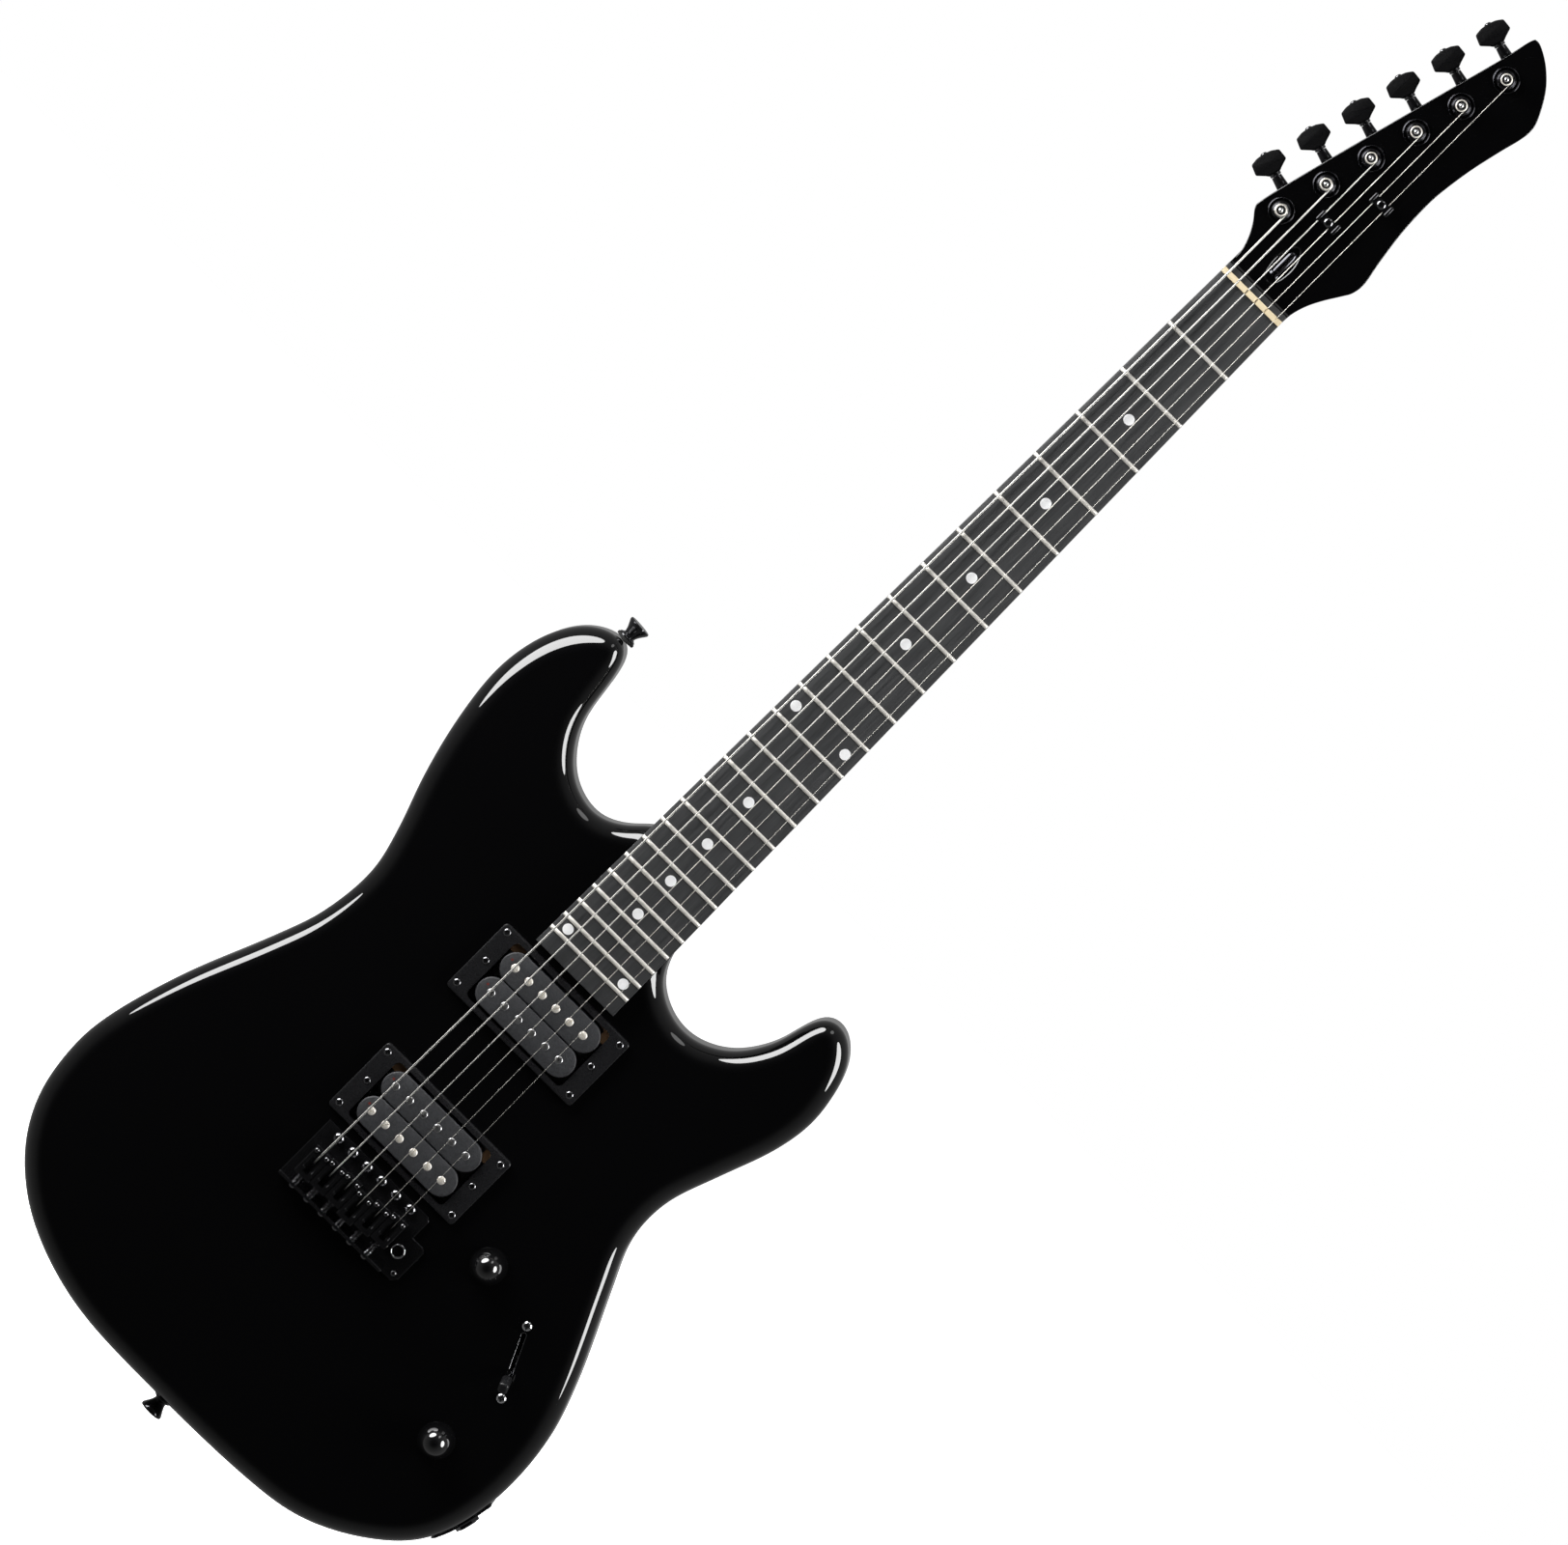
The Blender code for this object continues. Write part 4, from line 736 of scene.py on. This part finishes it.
def make_string(index):
    n = index + 1
    radius = STRING_RADII[index]
    post = post_place(index)
    x_start = post.x + 2.65 + radius
    points = [(x_start, post.y, 16.5)]
    if index > 1:
        y = TREE_PLACES[(index - 2) // 2][1]
        share = (y - NUT_BACK) / (post.y - NUT_BACK)
        x = nut_x(index) + share * (x_start - nut_x(index))
        points += [(x, y + 1, 16.05), (x, y, 16.0), (x, y - 1, 16.05)]
    height = NUT_STRING_HEIGHT
    points += [(nut_x(index), NUT_BACK, height - 0.1), (nut_x(index), NUT_FRONT + 1, height),
        (nut_x(index), NUT_FRONT, height)]
    saddle = Vector((saddle_x(index), SADDLE_FRONTS[index] - 3.6, BRIDGE_STRING_HEIGHT))
    start = Vector(points[-1])
    for share in (0.3, 0.6, 0.85, 0.88, 0.91, 0.94, 0.97, 0.99, 1):
        points.append(start.lerp(saddle, share))
    for back, drop in ((1.2, 0.1), (2.6, 0.5), (4, 1.4), (5, 3), (5.6, 6), (6, 11)):
        points.append((saddle.x, saddle.y - back, saddle.z - drop))
    look = WOUND_STRING if index < 3 else PLAIN_STRING
    string = piece(f"string_wire_{n}", tube(points, radius, 12), look, body=None, replaces=[f"string_{n}"],
        angle=60)
    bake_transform(string)


# ---- pickups


def bobbin_outline(y, radius, length):
    return [(side * (length - radius + radius * cos(pi * (step / 14 - 0.5))),
        y + side * radius * sin(pi * (step / 14 - 0.5))) for side in (-1, 1) for step in range(15)]


def make_pickup(name, middle, spacing, lift, screw_row):
    top = BODY_FRONT + lift
    base = joined(block((-34.4, middle - 18.6, -5), (34.4, middle + 18.6, -2.5), 0.6),
        block((-41.5, middle - 4.5, -4.8), (41.5, middle + 4.5, -3), 0.5))
    piece(f"{name}_base", base, STEEL, replaces=[name])
    across = [(index - 2.5) * spacing - 0.6 for index in range(6)]
    for side, tag in ((-1, "lower"), (1, "upper")):
        y = middle + side * 9.05
        holes = [pillar(x, y, top - 0.7, top + 2, 2.65, 24) for x in across]
        holes += [pillar(x, y, top - 1.5, top + 2, 0.6, 12) for x in (-20.2, 19.2)]
        form = prism(bobbin_outline(y, 8.8, 33.7), top - 2.6, top, 0.7, 3)
        piece(f"{name}_{tag}_bobbin", cut(form, *holes), BOBBIN)
        tape = prism(bobbin_outline(y, 8.3, 33.2), -2.6, top - 2.5)
        piece(f"{name}_{tag}_winding", tape, SATIN_PLASTIC)
        mark = pillar(-29.8, y + 2.2, top - 0.5, top + 0.06, 0.7, 14)
        piece(f"{name}_{tag}_mark", mark, RED_PAINT)
        if side == screw_row:
            poles = [shifted(moved(slot_head(2.35, 1.0),
                Matrix.Rotation(0.5 * index * index + side * 9.05, 4, "Z")), x, y, top - 0.35)
                for index, x in enumerate(across)]
        else:
            poles = [shifted(lathe([(0, 0.75), (1.4, 0.75), (1.8, 0.7), (2.15, 0.5), (2.35, 0.2),
                (2.4, -0.2), (2.4, -1), (0, -1)], 28), x, y, top - 0.4) for x in across]
        look = POLE if side == screw_row else STEEL
        piece(f"{name}_{tag}_poles", joined(*poles), look, angle=40)


def soften_corners(shape, offset, segments=4):
    """Rounds the upright edges of a prism."""
    upright = []
    for edge in shape.edges:
        first, last = edge.verts
        if (first.co.xy - last.co.xy).length < 0.01 and len(edge.link_faces) == 2:
            upright.append(edge)
    bevel(shape, upright, offset, segments)


def soften_face(shape, level, offset, segments):
    """Rounds the edges of the flat face at a height."""
    rim = [e for e in shape.edges if max(abs(v.co.z - level) for v in e.verts) < 0.01]
    bevel(shape, rim, offset, segments)


def oblong(x1, y1, x2, y2):
    return [(x1, y1), (x2, y1), (x2, y2), (x1, y2)]


def make_ring(name, middle, corners, heights):
    low, high = BODY_FRONT + 0.05, BODY_FRONT + 4.3
    ring = prism(oblong(-45.6, middle - 22.8, 45.6, middle + 22.8), low, high)
    soften_corners(ring, 2.2)
    soften_face(ring, high, 0.8, 3)
    window = prism(oblong(-34.8, middle - 19.5, 34.8, middle + 19.5), 0, 30)
    soften_corners(window, 3.0)
    wells = [pillar(x, y, high - 0.5, 30, 2.5, 28) for x, y in corners]
    holes = [pillar(x, y, 0, 30, 1.9, 24) for x, y in heights]
    piece(f"{name}_frame", cut(ring, window, *wells, *holes), SATIN_PLASTIC, replaces=[name], angle=28)
    screws = [shifted(cross_head(2.2, 1.1), x, y, high - 0.5) for x, y in corners]
    screws += [shifted(cross_head(2.0, 0.9), x, y, high - 0.1) for x, y in heights]
    piece(f"{name}_screws", joined(*screws), SCREW_METAL, angle=40)
    springs = [coil((x, y, -3), (x, y, BODY_FRONT), 1.6, 7, 0.3) for x, y in heights]
    shanks = [pillar(x, y, -6, high, 1.0, 12) for x, y in heights]
    piece(f"{name}_springs", joined(*springs, *shanks), STEEL)


# ---- bridge


def make_bridge():
    across = [saddle_x(index) for index in range(6)]
    plate = prism(BRIDGE_OUTLINE, PLATE_BOTTOM, PLATE_TOP, 0.5, 3)
    holes = [pillar(x, SCREW_ROW, 0, 30, 2.0, 18) for x in across]
    holes.append(bar(ARM_HOLE, ARM_HOLE + Vector((0, 0, 30)), 3.0, 28))
    piece("bridge_base", cut(plate, *holes), BLACK_METAL, "vibrato", ["bridge_plate"], angle=28)
    tail = block((-38.6, BRIDGE_TAIL, PLATE_TOP - 1), (36, -676.6, 23.6), 0.6, 3)
    holes = [bar((x, -680, INTONATION_Z), (x, -670, INTONATION_Z), 1.4, 18) for x in across]
    piece("bridge_lip", cut(tail, *holes), BLACK_METAL, "vibrato", angle=28)
    socket = lathe([(3.0, 15.0), (3.15, 15.5), (3.4, 15.75), (3.7, 15.75), (3.95, 15.5), (4.1, 15.0),
        (4.1, 14), (4.8, 13.9), (4.8, 3), (3.0, 3)], 40, ARM_HOLE, closed=True)
    piece("arm_socket", socket, CHROME, "vibrato", angle=50)
    piece("arm_set_screw", shifted(cross_head(1.5, 0.7), 41.6, -674.6, PLATE_TOP), SCREW_METAL, "vibrato")
    screws = [shifted(cross_head(3.0, 1.9), x, SCREW_ROW, PLATE_TOP + 1.2) for x in across]
    shanks = [pillar(x, SCREW_ROW, -2, PLATE_TOP + 1.1, 1.4, 14) for x in across]
    piece("bridge_screws", joined(*screws, *shanks), SCREW_METAL, angle=40)
    body = block((-37, -664.5, -27), (29, -649, BODY_FRONT), 1.0, 2)
    holes = [pillar(x, -657, -40, 20, 1.9, 16) for x in across]
    piece("inertia_block", cut(body, *holes), STEEL, "vibrato", ["vibrato_block"])
    balls = [lathe([(0, 0), (1.7, 0.2), (1.85, 1.2), (1.7, 2.2), (0, 2.4)][::-1], 20, (x, -657, -26.5))
        for x in across]
    piece("string_balls", joined(*balls), POLE, "vibrato")


def make_saddle(index):
    n, middle, front = index + 1, saddle_x(index), SADDLE_FRONTS[index]
    radius = STRING_RADII[index]
    high = BRIDGE_STRING_HEIGHT + 0.25
    shape = block((-5.1, -18.2, 16), (5.1, 0, high), 0.55, 3)
    groove = radius + 0.25
    cutters = [block((-groove, -8, BRIDGE_STRING_HEIGHT - groove - 0.25), (groove, 2, 40)),
        block((-1.7, -15.5, 0), (1.7, -3.9, 40), 0.3),
        block((-3.2, -13.5, high - 1.2), (3.2, -6.2, 40), 0.4),
        bar((0, -20, INTONATION_Z), (0, -14, INTONATION_Z), 1.3, 16)]
    cutters += [pillar(side * 3.5, -2.4, 0, 40, 1.45, 18) for side in (-1, 1)]
    piece(f"saddle_block_{n}", shifted(cut(shape, *cutters), middle, front), BLACK_METAL, f"saddle_{n}",
        [f"saddle_{n}"], angle=28)
    pins = []
    for side in (-1, 1):
        pin = lathe([(0, high + 1.0), (0.7, high + 1.0), (1.0, high + 0.85), (1.2, high + 0.6),
            (1.3, high + 0.3), (1.3, PLATE_TOP + 0.05), (0, PLATE_TOP + 0.05)], 20)
        pin = cut(pin, pillar(0, 0, high - 0.6, high + 3, 0.62, 6))
        pins.append(shifted(pin, side * 3.5, -2.4))
    piece(f"saddle_pins_{n}", shifted(joined(*pins), middle, front), SCREW_METAL, f"saddle_{n}", angle=28)
    rear = front - 18.2
    screw = joined(bar((middle, -679.4, INTONATION_Z), (middle, rear + 1.5, INTONATION_Z), 1.05, 16),
        moved(cross_head(2.1, 1.5), Matrix.Translation((middle, -678.5, INTONATION_Z))
        @ Matrix.Rotation(pi / 2, 4, "X")))
    piece(f"intonation_screw_{n}", screw, SCREW_METAL, "vibrato", angle=28)
    spring = coil((middle, -676.3, INTONATION_Z), (middle, rear - 0.1, INTONATION_Z), 1.75, 6, 0.32, 14, 7)
    spring = piece(f"intonation_spring_{n}", spring, SCREW_METAL, body=None)
    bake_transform(spring)


def make_springs():
    repaint("spring_claw", STEEL)
    for n, x in enumerate((-18, -2, 14), 1):
        spring = joined(coil((x, -568, SPRING_HEIGHT), (x, -640, SPRING_HEIGHT), 3.35, 48, 0.6, 12, 6),
            bar((x, -558.4, SPRING_HEIGHT), (x, -569, SPRING_HEIGHT), 0.6, 10),
            bar((x, -639, SPRING_HEIGHT), (x, -648.6, SPRING_HEIGHT), 0.6, 10))
        spring = piece(f"spring_coil_{n}", spring, STEEL, body=None, replaces=[f"vibrato_spring_{n}"])
        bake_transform(spring)


# ---- controls


def make_knob(name, place):
    dome = [(9.3 * sin(pi / 2 * k / 16), 5.4 + 13 * cos(pi / 2 * k / 16)) for k in range(17)]
    profile = dome + [(9.3, 4.6), (9.15, 4.2), (9.15, 3.6), (9.85, 3.5), (9.95, 3.3), (9.95, 0.5), (9.8, 0),
        (5.4, 0), (5.4, 3), (3, 3), (3, -13), (0, -13)]
    shape = lathe(profile, 64, (place.x, place.y, BODY_FRONT + 0.6))
    piece(f"{name}_dome", shape, GLOSS_PLASTIC, name, [name], angle=35)
    washer = lathe([(8.6, 0.5), (8.8, 0.35), (8.8, 0), (5.05, 0), (5.05, 0.5)], 48,
        (place.x, place.y, BODY_FRONT + 0.02), closed=True)
    piece(f"{name}_washer", washer, SCREW_METAL)


def switch_place(height=0.0):
    first, last = SWITCH_SCREWS
    middle = (first + last) / 2
    along = last - first
    turn = Matrix.Rotation(atan2(along.y, along.x), 4, "Z")
    return Matrix.Translation((middle.x, middle.y, height)) @ turn


def make_switch():
    back = BODY_FRONT - 5.8
    reach = (SWITCH_SCREWS[1] - SWITCH_SCREWS[0]).length / 2
    body = joined(cut(block((-24, -5, back - 1.4), (24, 5, back)), block((-17, -2, -20), (17, 2, 20))),
        block((-18, -5, -16), (18, -3.6, back - 0.5)),
        bar((0, -4.5, SWITCH_PIVOT), (0, 3, SWITCH_PIVOT), 1.5, 16))
    piece("switch_body", moved(body, switch_place()), STEEL, replaces=["switch_frame"])
    screws = [shifted(cross_head(2.75, 1.5), side * reach, 0, BODY_FRONT + 0.05) for side in (-1, 1)]
    piece("switch_screws", moved(joined(*screws), switch_place()), CHROME, angle=40)
    lean = switch_place(SWITCH_PIVOT) @ Matrix.Rotation(SWITCH_LEAN, 4, "Y")
    blade = joined(cut(bar((0, -1, 0), (0, 1, 0), 5, 28), bar((0, -3, 0), (0, 3, 0), 1.8, 16)),
        block((-2.0, -0.6, 4.6), (2.0, 0.6, 34), 0.25))
    piece("switch_blade", moved(blade, lean), SCREW_METAL, "switch_lever", ["switch_lever"])
    cap = block((-3.0, -2.7, 28), (3.0, 2.7, 40), 1.6, 4)
    piece("switch_cap", moved(cap, lean), SATIN_PLASTIC, "switch_lever")
    lining = cut(block((-17.2, -2.0, 5.9), (17.2, 2.0, 11.0)), block((-16.4, -1.25, 0), (16.4, 1.25, 20)))
    piece("switch_slot_lining", moved(lining, switch_place()), DARK)
    # Painted highlight: the slot's rounded edge is really the body's lacquer, but it is made of the lighter
    # screw metal so that a bright line shows along the slot.
    ends = [(side * (15.2 + 1.1 * cos(pi * (step / 8 - 0.5))), side * 1.1 * sin(pi * (step / 8 - 0.5)))
        for side in (1, -1) for step in range(9)]
    rim = lip([Vector(p) for p in ends], BODY_FRONT + 0.1, 0.5)
    piece("switch_slot_rim_painted_highlight", moved(rim, switch_place()), SCREW_METAL, angle=50)


def make_jack():
    line = evened(smooth(BODY_OUTLINE), 1.0)
    normals = outward(line, 2)
    near = [(p, n) for p, n in zip(line, normals) if (p - JACK_PLACE.to_2d()).length < 19]
    bm = bmesh.new()
    rings = []
    half = 12.0
    for k, (point, normal) in enumerate(near):
        ring = []
        last = min(k, len(near) - 1 - k)
        thick = 1.2 if last > 1 else (1.0 if last == 1 else 0.7)
        for depth, height in ((0.05, -half), (thick - 0.4, -half), (thick, -half + 0.5), (thick, half - 0.5),
                (thick - 0.4, half), (0.05, half)):
            place = point + normal * depth
            ring.append(bm.verts.new((place.x, place.y, BODY_MIDDLE + height)))
        rings.append(ring)
    plate = cut(skin(bm, rings), bar(JACK_PLACE - JACK_AXIS * 5, JACK_PLACE + JACK_AXIS * 9, 5.2, 28))
    piece("jack_strap", plate, BLACK_METAL, replaces=["jack_plate"], angle=28)
    screws = []
    for point, normal in (near[4], near[-5]):
        place = (point.x + 1.1 * normal.x, point.y + 1.1 * normal.y, BODY_MIDDLE)
        screws.append(moved(cross_head(2.0, 0.9), aimed(place, (*normal, 0))))
    piece("jack_screws", joined(*screws), SCREW_METAL, angle=40)
    socket = lathe([(3.8, 3.6), (4.7, 3.6), (4.8, 3.4), (4.8, -0.8), (7.6, -0.8), (7.6, -2.2), (3.8, -2.2)],
        40, JACK_PLACE, JACK_AXIS, closed=True)
    piece("jack_barrel", socket, SMOKED_CHROME, replaces=["output_jack"], angle=28)
    nut = lathe([(4.85, 3.3), (6.4, 3.3), (7.0, 3.0), (7.0, 1.4), (4.85, 1.4)], 6, JACK_PLACE, JACK_AXIS,
        closed=True)
    piece("jack_nut", nut, BLACK_METAL, angle=28)


def make_strap_button(name, place, axis):
    place, axis = Vector(place), Vector(axis).normalized()
    button = lathe([(2.4, 10.9), (5.6, 11.15), (6.3, 10.95), (6.6, 10.4), (6.55, 9.7), (5.2, 7.4),
        (4.2, 5.6), (3.6, 4), (3.5, 3.2), (4.4, 2.5), (5.0, 2.2), (5.2, 1.9), (5.2, 1.3), (0, 1.3), (0, 9.6),
        (2.2, 9.8)], 40, place, axis)
    piece(f"{name}_post", button, BLACK_METAL, replaces=[name], angle=28)
    felt = lathe([(0, 1.3), (5.6, 1.25), (5.8, 0.9), (5.7, -0.2), (0, -1.2)], 32, place, axis)
    piece(f"{name}_felt", felt, RUBBER)
    screw = moved(cross_head(2.6, 1.2), aimed(place + axis * 9.7, axis))
    piece(f"{name}_screw", screw, SCREW_METAL, angle=40)


# ---- back


def make_back():
    low, high = BODY_BACK - 2.1, BODY_BACK - 0.05
    cover = prism(oblong(-45, -538, 41, -682), low, high)
    soften_corners(cover, 5.0, 5)
    soften_face(cover, low, 0.5, 2)
    window = block((-33, -666, -60), (29, -646, 0))
    piece("spring_cover_plate", cut(cover, window), SATIN_PLASTIC, replaces=["spring_cavity_cover"])
    line = evened(smooth(CONTROL_CAVITY, 6), 1.5)
    piece("control_cover_plate", prism(grown(line, 5), low, high, 0, 2, 0.5), SATIN_PLASTIC,
        replaces=["control_cavity_cover"])
    places = [(-40.5, -542.5), (36.5, -542.5), (-40.5, -610), (36.5, -610), (-40.5, -677.5), (36.5, -677.5),
        (57.5, -620), (111, -624), (147.5, -690), (133, -749), (91, -727), (62, -659)]
    flip = Matrix.Rotation(pi, 4, "X")
    screws = [shifted(moved(cross_head(2.4, 1.0), flip), x, y, low) for x, y in places]
    piece("cover_screws", joined(*screws), SCREW_METAL, angle=40)
    plate = prism(smooth(NECK_PLATE, 1), BODY_BACK - 2.3, BODY_BACK - 0.05, 0, 3, 0.6)
    piece("joint_plate", plate, BLACK_METAL, replaces=["neck_plate"], angle=28)
    screws = [shifted(moved(cross_head(4.1, 1.9), flip), x, y, BODY_BACK - 2.3) for x, y in NECK_SCREWS]
    piece("joint_screws", joined(*screws), SCREW_METAL, angle=40)


make_body()
make_neck()
make_fretboard()
make_nut()
for number in range(6):
    make_tuner(number)
    make_string(number)
    make_saddle(number)
for number, (x, y) in enumerate(TREE_PLACES, 1):
    make_tree(number, x, y)
make_ring("neck_pickup_ring", NECK_PICKUP_Y,
    [(-41.7, -505.1), (41.5, -505.5), (-42, -542.3), (41.2, -542.6)], [(-39.3, -523.5), (38.6, -523.9)])
make_ring("bridge_pickup_ring", BRIDGE_PICKUP_Y,
    [(-42, -594), (41.4, -594.3), (-41.5, -630.6), (41.8, -631)], [(-39.2, -612.1), (38.8, -612.7)])
make_pickup("neck_pickup", NECK_PICKUP_Y, 9.95, 6, 1)
make_pickup("bridge_pickup", BRIDGE_PICKUP_Y, 10.3, 7, -1)
make_bridge()
make_springs()
make_knob("volume_knob", VOLUME_PLACE)
make_knob("tone_knob", TONE_PLACE)
make_switch()
for name in ("volume_pot", "tone_pot"):
    repaint(name, STEEL)
make_jack()
make_strap_button("strap_button_horn", (-106.5, -355, BODY_MIDDLE), (0.08, 0.9968, 0))
make_strap_button("strap_button_tail", (2, -810, BODY_MIDDLE), (0, -1, 0))
make_back()


# ---- studio


def make_stage():
    bm = bmesh.new()
    bmesh.ops.create_grid(bm, x_segments=1, y_segments=1, size=6)
    mesh = bpy.data.meshes.new("floor")
    bm.to_mesh(mesh)
    bm.free()
    mesh.materials.append(material("pale_floor", (0.9, 0.9, 0.9), 0.9, scale=2, bump=0, emission=1.0))
    floor = add("floor", mesh)
    floor.location.z = -0.86
    floor.visible_glossy = False
    floor.visible_diffuse = False


def stance(right, up, back, place):
    return Matrix(((*right, 0), (*up, 0), (*back, 0), (*place, 1))).transposed()


def lamp(name, around, lean, distance, width, height, brightness, glossy=True):
    """An oval soft light aimed at the body: around is its angle in the picture, from the right-hand
    side, and lean is its angle from the line to the camera."""
    right = Vector((sin(ROLL), 0, cos(ROLL)))
    up = Vector((-cos(ROLL), 0, sin(ROLL)))
    around, lean = radians(around), radians(lean)
    side = right * cos(around) + up * sin(around)
    across = up * cos(around) - right * sin(around)
    back = side * sin(lean) + Vector((0, -cos(lean), 0))
    upward = back.cross(across)
    place = BODY_CENTRE + back * distance
    data = bpy.data.lights.new(name, "AREA")
    data.shape = "ELLIPSE"
    data.size, data.size_y = width, height
    data.energy = brightness * pi * width * height * pi / 4
    obj = add(name, data)
    obj.matrix_world = stance(across, upward, back, place)
    obj.visible_camera = False
    obj.visible_glossy = glossy


def make_world():
    """White behind the guitar, darker towards the camera, so that flat black faces stay black."""
    world = bpy.data.worlds.new("studio")
    bpy.context.scene.world = world
    world.use_nodes = True
    nodes, link = world.node_tree.nodes, world.node_tree.links.new
    paths = nodes.new("ShaderNodeLightPath")
    seen = fill(nodes.new("ShaderNodeBackground"), Color=(1, 1, 1, 1))
    room = nodes["Background"]
    place = nodes.new("ShaderNodeTexCoord")
    parts = nodes.new("ShaderNodeSeparateXYZ")
    depth = fill(nodes.new("ShaderNodeMapRange"), From_Min=-1)
    grade = nodes.new("ShaderNodeValToRGB")
    ramp = grade.color_ramp
    ramp.elements[0].color = (0.005, 0.005, 0.005, 1)
    ramp.elements[1].color = (0.32, 0.32, 0.32, 1)
    for position, level in ((0.06, 0.02), (0.2, 0.09), (0.5, 0.17), (0.75, 0.22)):
        ramp.elements.new(position).color = (level, level, level, 1)
    link(place.outputs["Generated"], parts.inputs[0])
    link(parts.outputs["Y"], depth.inputs["Value"])
    link(depth.outputs["Result"], grade.inputs["Fac"])
    link(grade.outputs["Color"], room.inputs["Color"])
    mix = nodes.new("ShaderNodeMixShader")
    link(paths.outputs["Is Camera Ray"], mix.inputs["Fac"])
    link(room.outputs[0], mix.inputs[1])
    link(seen.outputs[0], mix.inputs[2])
    link(mix.outputs[0], nodes["World Output"].inputs["Surface"])


def make_camera():
    """Far in front, level with the headstock, and rolled so that the neck runs up to the right."""
    target = Vector((0.002, -BOARD_TOP * MM, -0.3432))
    eye = Vector((0.05, -5, 0.03))
    ahead = (target - eye).normalized()
    right = ahead.cross(Vector((-sin(ROLL), 0, cos(ROLL)))).normalized()
    up = right.cross(ahead)
    data = bpy.data.cameras.new("camera")
    data.sensor_width = 36
    data.lens = 36 * (target - eye).length / PICTURE_WIDTH
    data.clip_end = 50
    camera = add("camera", data)
    camera.matrix_world = stance(right, up, -ahead, eye)
    bpy.context.scene.camera = camera


make_stage()
make_world()
make_camera()
lamp("upper_box", 112, 65.8, 0.923, 1.04, 0.59, 9.5)
lamp("right_box", -15.7, 71, 2.495, 1.95, 1.18, 9.5)
lamp("neck_box", 45, 68, 2.2, 0.6, 0.9, 1.5)
lamp("fill_box", 45, 30, 2.6, 1.4, 1.4, 1.0, glossy=False)
lamp("back_box", 60, 150, 2.2, 1.6, 1.6, 2.0, glossy=False)
bpy.context.scene.view_settings.view_transform = "Standard"
